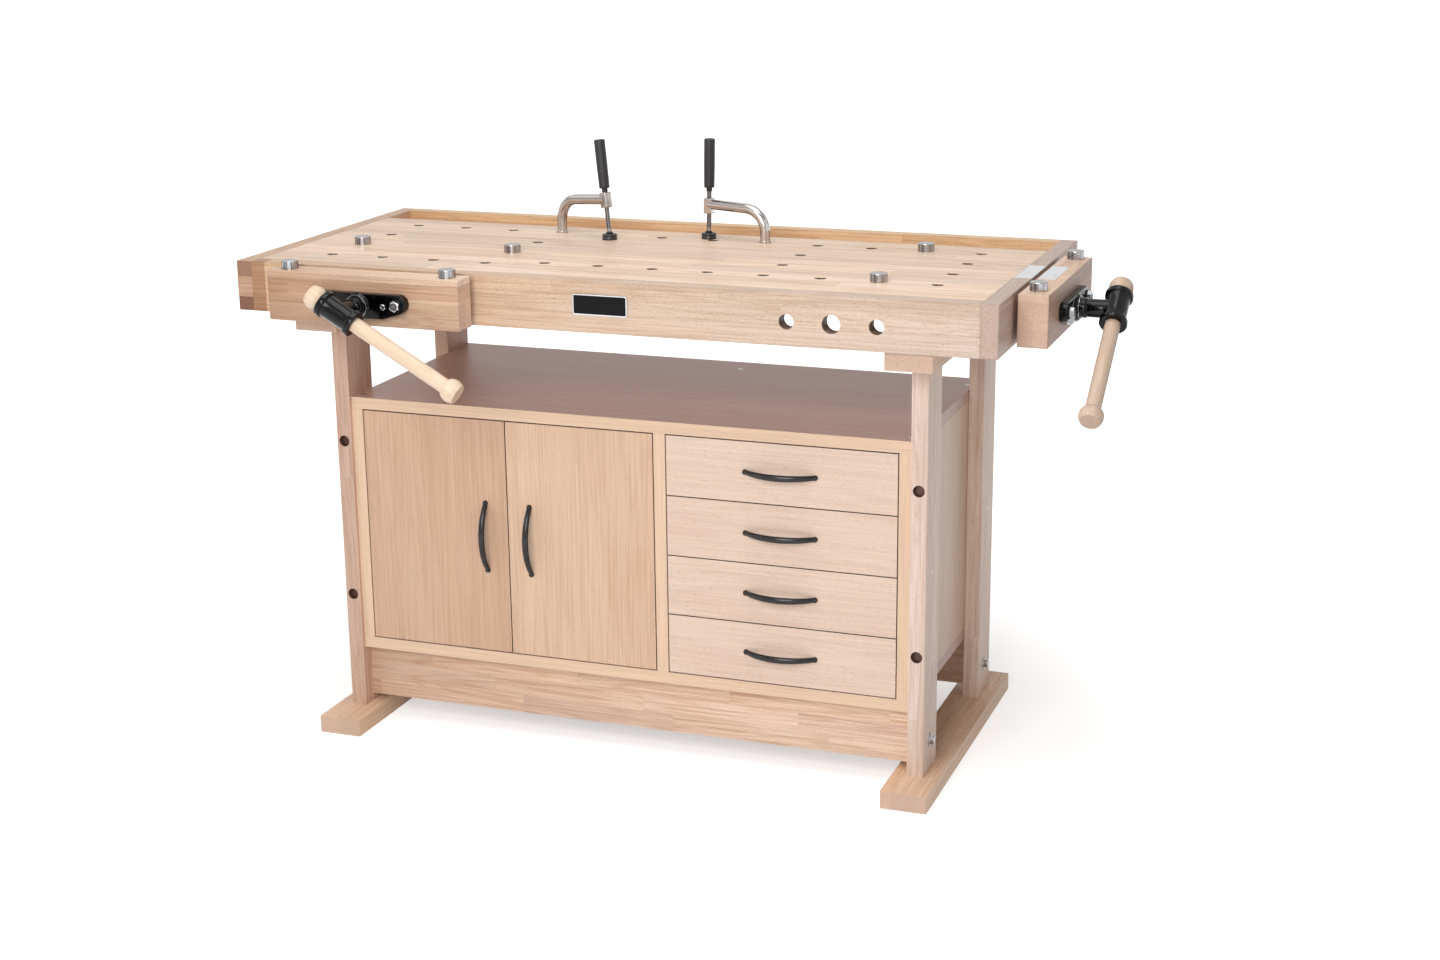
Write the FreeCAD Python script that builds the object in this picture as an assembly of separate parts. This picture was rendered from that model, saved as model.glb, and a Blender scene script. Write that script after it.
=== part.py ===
import FreeCAD, Part
import math
import os

# A joiner's workbench: a beech top with dog holes and a tool tray, two trestles, a storage
# cabinet between them, a front vise and an end vise, bench dogs and two holdfasts.
# While it is modelled, X runs from the bench's left end, Y back from the apron's face and
# Z up from the floor. It is written out about the middle of its footprint.

V = FreeCAD.Vector
TOUCH = 0.01                  # a length that counts as none when edges are picked

# ---- driving dimensions, mm ----
BENCH_LENGTH = 1400
BENCH_DEPTH = 640
BENCH_HEIGHT = 900
APRON_HEIGHT = 90
BOARD = 30                    # apron, end caps, rim and field
FINGER_LOW = 25               # finger joint of apron and left end cap, up from the apron's foot
FINGER_HIGH = 62
BACK_RAIL = 25                # rail under the field's back edge
TRAY_WIDTH = 95
TRAY_DEPTH = 50
TRAY_FLOOR = 8

DOG_HOLE_R = 10
DOG_HOLE_EASE = 1
DOG_FIRST_X = 135
DOG_PITCH = 102.6
DOG_COLUMNS = 12
DOG_LEFT_COLUMNS = 4          # columns whose front row stands nearer the apron
DOG_LEFT_ROW_Y = 110
DOG_RIGHT_ROW_Y = 139
DOG_BACK_MARGIN = 66          # back row to the field's back edge
DOG_ROWS = 4
DOG_FULL_COLUMNS = (0, 3, 8, 11)

APRON_HOLE_SPACING = 77.5
APRON_HOLE_MIDDLE_X = 1120
APRON_HOLE_DROP = 49
APRON_HOLE_R = 13
APRON_HOLE_MIDDLE_R = 16

PLATE_LENGTH = 100            # blank name plate
PLATE_HEIGHT = 36
PLATE_THICK = 1.5
PLATE_CORNER_R = 4
PLATE_X = 659
PLATE_DROP = 23

TRESTLE_INSET = 150           # bench end to the trestle's middle
RAIL_WIDTH = 83               # foot and bearer
RAIL_HEIGHT = 32
RAIL_OVERHANG = 2             # feet and bearers past the rim's back face
RAIL_Y = 8
LEG_THICK = 30
LEG_WIDTH = 90
LEG_EASE = 2                  # rounding of legs, feet and bearers
FRONT_LEG_Y = 86
BACK_LEG_INSET = 58           # back legs to the top's back edge
LEG_BORE_R = 10.5             # counterbores on the legs' edges
LEG_BORE_DEPTH = 14
LEG_BORE_HEIGHTS = (255, 554)
SIDE_SCREW_Z = 400
STRETCHER_THICK = 30
STRETCHER_HEIGHT = 102
STRETCHER_Z = 46
FRAME_BOLT_Z = 87
BOLT_R = 5
BOLT_HEAD_R = 8.5
BOLT_HEAD = 7
WASHER_R = 12
WASHER = 2
BOLT_LENGTH = 70
BOLT_SINK_R = 13.5
BOLT_SINK = 10
TOP_BOLT_LENGTH = 52
TOP_BOLT_SET = 20             # top's front and back face to its bolts
TOP_SINK_R = 10.5
TOP_FLANGE_R = 9.5
BARREL_NUT_R = 7
BARREL_NUT_SET = 40
BARREL_NUT_LENGTH = 22
SCREW_R = 3
SIDE_SCREW_LENGTH = 50
TOP_SCREW_LENGTH = 44
TOP_SCREW_HEAD_R = 5
TOP_SCREW_HEAD = 3
TOP_SCREW_FRONT = 26
TOP_SCREW_BACK = 52

CABINET_BOARD = 22
CABINET_SETBACK = 8
CABINET_DEPTH = 490
CABINET_HEIGHT = 490
CABINET_BACK = 6
DRAWER_BAY = 427
SHELF_THICK = 18
SHELF_HEIGHT = 215
SHELF_SETBACK = 30
SHELF_GAP = 0.3
SHELF_PIN_R = 3
SHELF_PIN_LENGTH = 9
SHELF_PIN_INSET = 35
FRONT_THICK = 18              # doors and drawer fronts
FRONT_GAP = 2
DRAWERS = 4
DRAWER_SIDE = 14
DRAWER_SIDE_GAP = 3.5
DRAWER_BOX_HEIGHT = 84
DRAWER_BOX_RISE = 12
DRAWER_BOX_DEPTH = 438
DRAWER_BOTTOM = 6
RUNNER_HEIGHT = 16
RUNNER_LENGTH = 436
RUNNER_BITE = 8
RUNNER_GAP = 0.3

PULL_SPAN = 128
PULL_REACH = 28
PULL_R = 4.5
PULL_FOOT_R = 5.2
PULL_FOOT = 3
PULL_FROM_EDGE = 43
CUP_R = 17.5
CUP_DEPTH = 11
CUP_FROM_EDGE = 22
CUP_FLANGE = 2
HINGE_INSET = 70
HINGE_ARM_WIDTH = 14
HINGE_ARM_LENGTH = 52
HINGE_ARM_REACH = 18
HINGE_PLATE = 3
HINGE_PLATE_HEIGHT = 40
HINGE_FLANGE_HEIGHT = 28
HINGE_GAP = 0.3

VISE_DROP = 52                # bench top down to the screw's axis
FRONT_VISE_X = 286
FRONT_JAW_X = 102
FRONT_JAW_LENGTH = 372
FRONT_JAW_THICK = 50
FRONT_JAW_HEIGHT = 89
FRONT_JAW_GAP = 16
END_VISE_Y = 276
END_JAW_NEAR_MARGIN = 40      # jaw's ends to its dogs
END_JAW_FAR_MARGIN = 22
END_JAW_THICK = 52
END_JAW_HEIGHT = 89
END_JAW_GAP = 8
JAW_EASE = 2
BLOCK_EASE = 2
GUIDE_SPACING = 76            # screw to each guide rod
GUIDE_RISE = 5                # guides above the screw's axis
GUIDE_R = 8
GUIDE_FIT = 0.08
SCREW_SHAFT_R = 12
SHAFT_LENGTH = 290            # jaw face to the screw's inner end
SHAFT_FIT = 0.1
LOOSE_FIT = 1.5
VISE_PLATE_LENGTH = 188
VISE_PLATE_HEIGHT = 44
VISE_PLATE_RISE = 1           # plate's middle above the screw's axis
VISE_PLATE_TIP_R = 17
VISE_PLATE_FLAT = 98          # straight part of the lower edge
VISE_PLATE_THICK = 14
VISE_PLATE_EASE = 1.5
HUB_R = 21.5
HUB_FOOT_R = 25
HUB_HEIGHT = 4
COLLAR_R = 19.5
COLLAR_HEIGHT = 2
BUSH_R = 17.5
BUSH_LENGTH = 10
NECK_R = 16
HANDLE_REACH = 79             # jaw face to the handle's axis
SOCKET_R = 20
SOCKET_HALF = 35.5
SOCKET_RIM_R = 24
SOCKET_RIM = 10
SOCKET_GAP = 0.8
HANDLE_ROD_R = 13.3
KNOB_R = 21
KNOB_INNER = 14               # knob's middle to its flat on the rod's side
KNOB_OUTER = 12.5
HANDLE_LENGTH = 291.5         # between the knobs' middles
FRONT_HANDLE_ANGLE = -30
END_HANDLE_ANGLE = 215
NUT_PLATE_THICK = 12
NUT_BOSS_R = 18
NUT_BOSS = 45
GUIDE_BOSS_R = 13
GUIDE_WASHER_R = 11.6
GUIDE_NUT_R = 9.8
GUIDE_NUT = 7
GUIDE_TIP_R = 5
GUIDE_TIP = 1.5
PLATE_SCREW_R = 5.5
PLATE_SCREW_HEAD = 3
PLATE_SCREW_LENGTH = 44
PLATE_SCREW_X = 50

STEEL_PLATE_THICK = 3
STEEL_PLATE_WIDTH = 30
STEEL_PLATE_LENGTH = 122
STEEL_PLATE_Y = 240

DOG_FIT = 0.3
DOG_HEAD_R = 15
DOG_HEAD = 15
DOG_HEAD_EASE = 1.5
DOG_SHANK = 55

HOLDFAST_R = 9.7
HOLDFAST_SHANK = 58
HOLDFAST_RING_R = 11.5
HOLDFAST_RING = 4
HOLDFAST_BEND_R = 42
HOLDFAST_BLOCK = 16
HOLDFAST_BLOCK_WIDTH = 17
HOLDFAST_BLOCK_HEIGHT = 29
CLAMP_SCREW_R = 4.8
CLAMP_SCREW_FIT = 0.08
CLAMP_BALL_R = 7.5
CLAMP_BALL_FIT = 0.1
CLAMP_BALL_HEIGHT = 9
CLAMP_PAD_R = 14
CLAMP_PAD = 11
CLAMP_PAD_EASE = 1.5
GRIP_START = 80.5
GRIP_NECK_R = 5.5
GRIP_NECK = 7
GRIP_LENGTH = 91
GRIP_FOOT_R = 9.8
GRIP_TOP_R = 10.3
GRIP_EASE = 2
# turn of the arm in its hole, the arm's height and rise, its reach and the screw's lean
HOLDFASTS = {
    "left": dict(column=3, turn=-22, height=64, rise=5.3, reach=127, lean=7, block=74),
    "right": dict(column=7, turn=172, height=60, rise=2.6, reach=118.5, lean=1.2, block=62),
}

# ---- derived places ----
TOP_Z = BENCH_HEIGHT
APRON_Z = TOP_Z - APRON_HEIGHT
FIELD_Z = TOP_Z - BOARD
FIELD_BACK = BENCH_DEPTH - BOARD - TRAY_WIDTH
DOG_BACK_ROW_Y = FIELD_BACK - DOG_BACK_MARGIN
RIM_Y = BENCH_DEPTH - BOARD
TRAY_Z = TOP_Z - TRAY_DEPTH
BEARER_Z = APRON_Z - RAIL_HEIGHT
RAIL_LENGTH = BENCH_DEPTH + RAIL_OVERHANG - RAIL_Y
TRESTLES = (TRESTLE_INSET, BENCH_LENGTH - TRESTLE_INSET)
BACK_LEG_Y = BENCH_DEPTH - BACK_LEG_INSET - LEG_WIDTH
LEG_FRONTS = (FRONT_LEG_Y, BACK_LEG_Y)
CABINET_X = TRESTLES[0] + LEG_THICK / 2
CABINET_RIGHT = TRESTLES[1] - LEG_THICK / 2
CABINET_Y = FRONT_LEG_Y + CABINET_SETBACK
CABINET_Z = STRETCHER_Z + STRETCHER_HEIGHT
CABINET_TOP = CABINET_Z + CABINET_HEIGHT
PANEL_BACK = CABINET_Y + CABINET_DEPTH - CABINET_BACK
BAY_LEFT = CABINET_X + CABINET_BOARD
BAY_RIGHT = CABINET_RIGHT - CABINET_BOARD
BAY_Z = CABINET_Z + CABINET_BOARD
BAY_TOP = CABINET_TOP - CABINET_BOARD
DIVIDER_RIGHT = BAY_RIGHT - DRAWER_BAY
DIVIDER_LEFT = DIVIDER_RIGHT - CABINET_BOARD
FRONT_BACK = CABINET_Y + FRONT_THICK
DOOR_WIDTH = (DIVIDER_LEFT - BAY_LEFT - 3 * FRONT_GAP) / 2
DOOR_Z = BAY_Z + FRONT_GAP
DOOR_TOP = BAY_TOP - FRONT_GAP
DRAWER_PITCH = (BAY_TOP - BAY_Z - FRONT_GAP) / DRAWERS
DRAWER_HEIGHT = DRAWER_PITCH - FRONT_GAP
DRAWER_LEFT = DIVIDER_RIGHT + DRAWER_SIDE_GAP
DRAWER_RIGHT = BAY_RIGHT - DRAWER_SIDE_GAP
SHELF_Z = BAY_Z + SHELF_HEIGHT
VISE_Z = TOP_Z - VISE_DROP
FRONT_JAW_FACE = -FRONT_JAW_GAP - FRONT_JAW_THICK
END_JAW_X = BENCH_LENGTH + END_JAW_GAP
END_JAW_FACE = END_JAW_X + END_JAW_THICK
END_JAW_Y = DOG_RIGHT_ROW_Y - END_JAW_NEAR_MARGIN
END_JAW_LENGTH = DOG_BACK_ROW_Y + END_JAW_FAR_MARGIN - END_JAW_Y
FRONT_JAW_DOGS = tuple((DOG_FIRST_X + k * DOG_PITCH, -FRONT_JAW_GAP - FRONT_JAW_THICK / 2)
                       for k in (0, DOG_LEFT_COLUMNS - 1))
END_JAW_DOGS = tuple((END_JAW_X + END_JAW_THICK / 2, y) for y in (DOG_RIGHT_ROW_Y, DOG_BACK_ROW_Y))


# ---- helpers ----
def box(x0, x1, y0, y1, z0, z1):
    """A box between two corners."""
    return Part.makeBox(x1 - x0, y1 - y0, z1 - z0, V(x0, y0, z0))


def rod(radius, start, end):
    """A cylinder from one point to another."""
    along = V(*end) - V(*start)
    return Part.makeCylinder(radius, along.Length, V(*start), along)


def cone(radius_a, radius_b, start, end):
    """A cone's frustum from one point to another."""
    along = V(*end) - V(*start)
    return Part.makeCone(radius_a, radius_b, along.Length, V(*start), along)


def united(shapes):
    """One solid from several that touch or overlap."""
    whole = shapes[0].fuse(shapes[1:])
    return whole.removeSplitter()


def ease(shape, radius, chosen):
    """Rounds the edges whose middles the test picks."""
    return shape.makeFillet(radius, [e for e in shape.Edges if chosen(e.BoundBox.Center)])


def upright_edges(shape, radius):
    """Rounds the edges of a box that run along Z."""
    upright = [e for e in shape.Edges if e.BoundBox.DiagonalLength - e.BoundBox.ZLength < TOUCH]
    return shape.makeFillet(radius, upright)


def hexagon(base, axis, corner_r, height):
    """A hexagonal prism from a point along an axis."""
    side = V(0, 1, 0) if abs(axis.y) < 0.5 else V(0, 0, 1)
    corners = [base + FreeCAD.Rotation(axis, 60 * k).multVec(side) * corner_r for k in range(7)]
    return Part.Face(Part.makePolygon(corners)).extrude(axis * height)


def group(shapes):
    """Separate solids that share one node."""
    return Part.makeCompound(shapes)


def row_y(column, row):
    """Y of a dog hole, from its column and row."""
    front = DOG_LEFT_ROW_Y if column < DOG_LEFT_COLUMNS else DOG_RIGHT_ROW_Y
    return front + (DOG_BACK_ROW_Y - front) * row / (DOG_ROWS - 1)


def dog_holes():
    """Middles of the dog holes in the field: two long rows and four full columns."""
    places = []
    for column in range(DOG_COLUMNS):
        rows = range(DOG_ROWS) if column in DOG_FULL_COLUMNS else (0, DOG_ROWS - 1)
        places += [(DOG_FIRST_X + column * DOG_PITCH, row_y(column, row)) for row in rows]
    return places


def dog_bore(x, y, depth):
    """The tool that cuts one dog hole with an eased mouth, down from the bench top."""
    mouth = DOG_HOLE_R + DOG_HOLE_EASE
    return rod(DOG_HOLE_R, (x, y, TOP_Z - depth - 1), (x, y, TOP_Z + 1)).fuse(
        cone(DOG_HOLE_R, mouth, (x, y, TOP_Z - DOG_HOLE_EASE), (x, y, TOP_Z)))


def vise_frame(kind):
    """Placement of a vise's own frame: Z out of the jaw's face, X along the jaw, Y up."""
    up = V(0, 0, 1)
    if kind == "front":
        out, along, place = V(0, -1, 0), V(1, 0, 0), V(FRONT_VISE_X, FRONT_JAW_FACE, VISE_Z)
    else:
        out, along, place = V(1, 0, 0), V(0, 1, 0), V(END_JAW_FACE, END_VISE_Y, VISE_Z)
    return FreeCAD.Placement(place, FreeCAD.Rotation(along, up, out, "ZXY"))


def placed(shape, placement):
    """A copy of a shape moved out of its own frame."""
    moved = shape.copy()
    moved.Placement = placement.multiply(moved.Placement)
    return moved


def guide_places():
    """X and Y of the two guides in a vise's own frame."""
    return [(side * GUIDE_SPACING, GUIDE_RISE) for side in (-1, 1)]


def vise_bores(shaft_r, guide_r):
    """Through holes for a screw and its two guides, in the vise's own frame."""
    reach = SHAFT_LENGTH + BOARD
    bores = [rod(shaft_r, (0, 0, -reach), (0, 0, reach))]
    bores += [rod(guide_r, (x, y, -reach), (x, y, reach)) for x, y in guide_places()]
    return bores


def board_bores(kind):
    """The loose holes that the board behind a jaw has for its vise."""
    return [placed(b, vise_frame(kind)) for b in vise_bores(SCREW_SHAFT_R + LOOSE_FIT, GUIDE_R + LOOSE_FIT)]


# ---- bench top ----
def front_apron():
    """Front board, with one finger at its left end and three through holes."""
    board = box(BOARD, BENCH_LENGTH - BOARD, 0, BOARD, APRON_Z, TOP_Z)
    finger = box(0, BOARD, 0, BOARD, APRON_Z + FINGER_LOW, APRON_Z + FINGER_HIGH)
    apron = united([board, finger])
    cuts = board_bores("front")
    for step, radius in ((-1, APRON_HOLE_R), (0, APRON_HOLE_MIDDLE_R), (1, APRON_HOLE_R)):
        x = APRON_HOLE_MIDDLE_X + step * APRON_HOLE_SPACING
        z = TOP_Z - APRON_HOLE_DROP
        cuts.append(rod(radius, (x, -1, z), (x, BOARD + 1, z)))
    return apron.cut(cuts + top_bolt_holes())


def bench_field():
    """Field with its dog holes, and the rail under it that carries the tray's floor."""
    slab = box(BOARD, BENCH_LENGTH - BOARD, BOARD, FIELD_BACK, FIELD_Z, TOP_Z)
    rail = box(BOARD, BENCH_LENGTH - BOARD, FIELD_BACK - BACK_RAIL, FIELD_BACK,
               TRAY_Z - TRAY_FLOOR, FIELD_Z)
    return group([slab.cut([dog_bore(x, y, BOARD) for x, y in dog_holes()]), rail])


def left_end_cap():
    """End cap whose two fingers reach the apron's face."""
    cap = box(0, BOARD, BOARD, BENCH_DEPTH, APRON_Z, TOP_Z)
    low = box(0, BOARD, 0, BOARD, APRON_Z, APRON_Z + FINGER_LOW)
    high = box(0, BOARD, 0, BOARD, APRON_Z + FINGER_HIGH, TOP_Z)
    return united([cap, low, high])


def steel_pocket(x0):
    """The recess for an inlaid steel plate."""
    return box(x0, x0 + STEEL_PLATE_WIDTH, STEEL_PLATE_Y, STEEL_PLATE_Y + STEEL_PLATE_LENGTH,
               TOP_Z - STEEL_PLATE_THICK, TOP_Z + 1)


def steel_plate(x0):
    """Steel plate let in flush with the bench top."""
    return box(x0, x0 + STEEL_PLATE_WIDTH, STEEL_PLATE_Y, STEEL_PLATE_Y + STEEL_PLATE_LENGTH,
               TOP_Z - STEEL_PLATE_THICK, TOP_Z)


def right_end_cap():
    """End cap that the end vise passes through, with its inlaid plate's recess."""
    cap = box(BENCH_LENGTH - BOARD, BENCH_LENGTH, 0, BENCH_DEPTH, APRON_Z, TOP_Z)
    return cap.cut(board_bores("end") + [steel_pocket(BENCH_LENGTH - STEEL_PLATE_WIDTH)])


def back_rim():
    """Back board of the tool tray."""
    return box(BOARD, BENCH_LENGTH - BOARD, RIM_Y, BENCH_DEPTH, APRON_Z, TOP_Z).cut(top_bolt_holes())


def tray_floor():
    """Floor of the tool tray, between the field's rail and the rim."""
    return box(BOARD, BENCH_LENGTH - BOARD, FIELD_BACK, RIM_Y, TRAY_Z - TRAY_FLOOR, TRAY_Z)


def nameplate():
    """Blank plate on the apron."""
    z1 = TOP_Z - PLATE_DROP
    plate = box(PLATE_X, PLATE_X + PLATE_LENGTH, -PLATE_THICK, 0, z1 - PLATE_HEIGHT, z1)
    return plate.makeFillet(PLATE_CORNER_R, [e for e in plate.Edges if e.BoundBox.YLength > PLATE_THICK / 2])


# ---- trestles ----
def rails(z):
    """The two feet or the two bearers."""
    solids = []
    for middle in TRESTLES:
        rail = box(middle - RAIL_WIDTH / 2, middle + RAIL_WIDTH / 2, RAIL_Y, RAIL_Y + RAIL_LENGTH,
                   z, z + RAIL_HEIGHT)
        solids.append(upright_edges(rail, LEG_EASE).cut(trestle_bolt_holes(middle) + top_bolt_holes()))
    return group(solids)


def trestle_bolt_holes(middle):
    """Holes for the bolts that join both rails of a trestle to its legs."""
    cuts = []
    for y in LEG_FRONTS:
        axis = y + LEG_WIDTH / 2
        for face, way in ((0, 1), (APRON_Z, -1)):
            sink = face + way * BOLT_SINK
            end = sink + way * BOLT_LENGTH
            cuts.append(rod(BOLT_SINK_R, (middle, axis, face), (middle, axis, sink)))
            cuts.append(rod(BOLT_R, (middle, axis, face), (middle, axis, end)))
    return cuts


def top_bolt_places():
    """X and Y of the bolts that hold the apron and the rim down on the bearers."""
    return [(middle, y) for middle in TRESTLES for y in (TOP_BOLT_SET, BENCH_DEPTH - TOP_BOLT_SET)]


def top_bolt_holes():
    """Bores for the top's bolts, with sinks for their heads in the bearers."""
    sink = BEARER_Z + BOLT_SINK
    cuts = []
    for x, y in top_bolt_places():
        cuts.append(rod(TOP_SINK_R, (x, y, BEARER_Z), (x, y, sink)))
        cuts.append(rod(BOLT_R, (x, y, sink), (x, y, sink + TOP_BOLT_LENGTH)))
    return cuts


def stretcher_bolt_places():
    """Start, direction and Y of each bolt through a leg into a stretcher's end."""
    return [(middle + way * LEG_THICK / 2, -way, y + LEG_WIDTH / 2)
            for middle, way in zip(TRESTLES, (-1, 1)) for y in LEG_FRONTS]


def stretcher_bolt_holes():
    """Bores along X for the stretchers' bolts."""
    return [rod(BOLT_R, (x, y, FRAME_BOLT_Z), (x + way * BOLT_LENGTH, y, FRAME_BOLT_Z))
            for x, way, y in stretcher_bolt_places()]


def leg(middle, y, edge, way):
    """One leg, with counterbores on its outer edge and bores for its bolts."""
    post = box(middle - LEG_THICK / 2, middle + LEG_THICK / 2, y, y + LEG_WIDTH, RAIL_HEIGHT, BEARER_Z)
    cuts = trestle_bolt_holes(middle) + stretcher_bolt_holes()
    for z in LEG_BORE_HEIGHTS:
        cuts.append(rod(LEG_BORE_R, (middle, edge, z), (middle, edge + way * LEG_BORE_DEPTH, z)))
    cuts += side_screw_holes()
    return upright_edges(post, LEG_EASE).cut(cuts)


def legs():
    """Four legs, two to a trestle."""
    solids = []
    for middle in TRESTLES:
        solids.append(leg(middle, FRONT_LEG_Y, FRONT_LEG_Y, 1))
        solids.append(leg(middle, BACK_LEG_Y, BACK_LEG_Y + LEG_WIDTH, -1))
    return group(solids)


def barrel_nut_places():
    """Middle of each barrel nut in the stretchers' ends."""
    return [(x + way * (LEG_THICK + BARREL_NUT_SET), y) for x, way, y in stretcher_bolt_places()]


def barrel_nut(x, y):
    """A cross nut let into a stretcher from behind."""
    back = y + STRETCHER_THICK / 2
    return rod(BARREL_NUT_R, (x, back - BARREL_NUT_LENGTH, FRAME_BOLT_Z), (x, back, FRAME_BOLT_Z))


def stretchers():
    """Front and rear stretchers under the cabinet."""
    solids = []
    nuts = [barrel_nut(x, y) for x, y in barrel_nut_places()]
    for y in LEG_FRONTS:
        middle = y + LEG_WIDTH / 2
        board = box(CABINET_X, CABINET_RIGHT, middle - STRETCHER_THICK / 2,
                    middle + STRETCHER_THICK / 2, STRETCHER_Z, CABINET_Z)
        solids.append(board.cut(stretcher_bolt_holes() + nuts))
    return group(solids)


def headed_bolt(start, way, length, flange_r=WASHER_R):
    """A hexagon bolt with its washer, whose shank starts at a face."""
    axis = V(*way)
    base = V(*start)
    head = hexagon(base - axis * WASHER, -axis, BOLT_HEAD_R, BOLT_HEAD)
    washer = Part.makeCylinder(flange_r, WASHER, base - axis * WASHER, axis)
    shank = Part.makeCylinder(BOLT_R, length, base, axis)
    return united([head, washer, shank])


def frame_bolts():
    """Bolts of the trestles, the stretchers and the top, with barrel nuts and side screws."""
    solids = []
    for x, way, y in stretcher_bolt_places():
        nut = barrel_nut(x + way * (LEG_THICK + BARREL_NUT_SET), y)
        bolt = headed_bolt((x, y, FRAME_BOLT_Z), (way, 0, 0), BOLT_LENGTH)
        solids += [bolt, nut.cut(bolt)]
    for middle in TRESTLES:
        for y in LEG_FRONTS:
            axis = y + LEG_WIDTH / 2
            solids.append(headed_bolt((middle, axis, BOLT_SINK), (0, 0, 1), BOLT_LENGTH))
            solids.append(headed_bolt((middle, axis, APRON_Z - BOLT_SINK), (0, 0, -1), BOLT_LENGTH))
    for x, y in top_bolt_places():
        solids.append(headed_bolt((x, y, BEARER_Z + BOLT_SINK), (0, 0, 1), TOP_BOLT_LENGTH, TOP_FLANGE_R))
    for middle, way in zip(TRESTLES, (1, -1)):
        for y in LEG_FRONTS:
            axis = y + LEG_WIDTH / 2
            outer = middle - way * LEG_THICK / 2
            inner = outer + way * SIDE_SCREW_LENGTH
            solids.append(rod(SCREW_R, (outer, axis, SIDE_SCREW_Z), (inner, axis, SIDE_SCREW_Z)))
    return group(solids)


# ---- cabinet ----
def side_screw_holes():
    """Holes in the cabinet's sides for the screws that come through the legs."""
    return [rod(SCREW_R, (middle - 2 * LEG_THICK, y + LEG_WIDTH / 2, SIDE_SCREW_Z),
                (middle + 2 * LEG_THICK, y + LEG_WIDTH / 2, SIDE_SCREW_Z))
            for middle in TRESTLES for y in LEG_FRONTS]


def top_screw_places():
    """X and Y of the screws that hold the cabinet's top and bottom to its uprights."""
    xs = (CABINET_X + CABINET_BOARD / 2, DIVIDER_RIGHT - CABINET_BOARD / 2, BAY_RIGHT + CABINET_BOARD / 2)
    return [(x, y) for x in xs for y in (CABINET_Y + TOP_SCREW_FRONT, PANEL_BACK - TOP_SCREW_BACK)]


def top_screws():
    """Cabinet screws with flush heads, down through the top."""
    solids = []
    for x, y in top_screw_places():
        neck = CABINET_TOP - TOP_SCREW_HEAD
        head = rod(TOP_SCREW_HEAD_R, (x, y, neck), (x, y, CABINET_TOP))
        shank = rod(SCREW_R, (x, y, CABINET_TOP - TOP_SCREW_LENGTH), (x, y, neck))
        solids.append(united([head, shank]))
    return solids


def cabinet_sides():
    """Left and right side panels."""
    left = box(CABINET_X, BAY_LEFT, CABINET_Y, PANEL_BACK, BAY_Z, BAY_TOP)
    right = box(BAY_RIGHT, CABINET_RIGHT, CABINET_Y, PANEL_BACK, BAY_Z, BAY_TOP)
    cuts = side_screw_holes() + top_screws()
    return group([left.cut(cuts), right.cut(cuts)])


def cabinet_decks():
    """Top and bottom panels."""
    top = box(CABINET_X, CABINET_RIGHT, CABINET_Y, PANEL_BACK, BAY_TOP, CABINET_TOP)
    bottom = box(CABINET_X, CABINET_RIGHT, CABINET_Y, PANEL_BACK, CABINET_Z, BAY_Z)
    return group([top.cut(top_screws()), bottom])


def cabinet_divider():
    """Upright between the doors' bay and the drawers."""
    panel = box(DIVIDER_LEFT, DIVIDER_RIGHT, CABINET_Y, PANEL_BACK, BAY_Z, BAY_TOP)
    return panel.cut(top_screws())


def cabinet_back():
    """Thin back panel."""
    return box(CABINET_X, CABINET_RIGHT, PANEL_BACK, PANEL_BACK + CABINET_BACK, CABINET_Z, CABINET_TOP)


def cabinet_shelf():
    """Shelf in the doors' bay."""
    return box(BAY_LEFT + SHELF_GAP, DIVIDER_LEFT - SHELF_GAP, FRONT_BACK + SHELF_SETBACK,
               PANEL_BACK - SHELF_GAP, SHELF_Z, SHELF_Z + SHELF_THICK)


def shelf_pins():
    """Four pins under the shelf."""
    solids = []
    z = SHELF_Z - SHELF_PIN_R
    for y in (FRONT_BACK + SHELF_SETBACK + SHELF_PIN_INSET, PANEL_BACK - SHELF_PIN_INSET):
        for wall, way in ((BAY_LEFT, 1), (DIVIDER_LEFT, -1)):
            solids.append(rod(SHELF_PIN_R, (wall, y, z), (wall + way * SHELF_PIN_LENGTH, y, z)))
    return solids


def hinge_heights():
    """Z of the hinges of a door."""
    return (DOOR_Z + HINGE_INSET, DOOR_TOP - HINGE_INSET)


def hinge_arms():
    """Mounting plates and arms of the four concealed hinges, on the cabinet."""
    solids = []
    arm_front = FRONT_BACK + CUP_FLANGE + HINGE_GAP
    for wall, way in ((BAY_LEFT, 1), (DIVIDER_LEFT, -1)):
        for z in hinge_heights():
            ends = sorted((wall, wall + way * HINGE_PLATE))
            reach = sorted((wall, wall + way * HINGE_ARM_REACH))
            low = z - HINGE_ARM_WIDTH / 2
            plate = box(*ends, arm_front + HINGE_ARM_LENGTH / 2, arm_front + HINGE_ARM_LENGTH,
                        z - HINGE_PLATE_HEIGHT / 2, z + HINGE_PLATE_HEIGHT / 2)
            arm = box(*reach, arm_front, arm_front + HINGE_ARM_LENGTH, low, low + HINGE_ARM_WIDTH)
            solids.append(united([plate, arm]))
    return solids


def cabinet_fittings():
    """The cabinet's screws, shelf pins and hinge arms."""
    return group(top_screws() + shelf_pins() + hinge_arms())


def drawer_z(index):
    """Underside of a drawer's front, counted from the top."""
    return BAY_TOP - FRONT_GAP - DRAWER_HEIGHT - index * DRAWER_PITCH


def runner_z(index):
    """Underside of a drawer's runners."""
    return drawer_z(index) + DRAWER_BOX_RISE + (DRAWER_BOX_HEIGHT - RUNNER_HEIGHT) / 2


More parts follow.
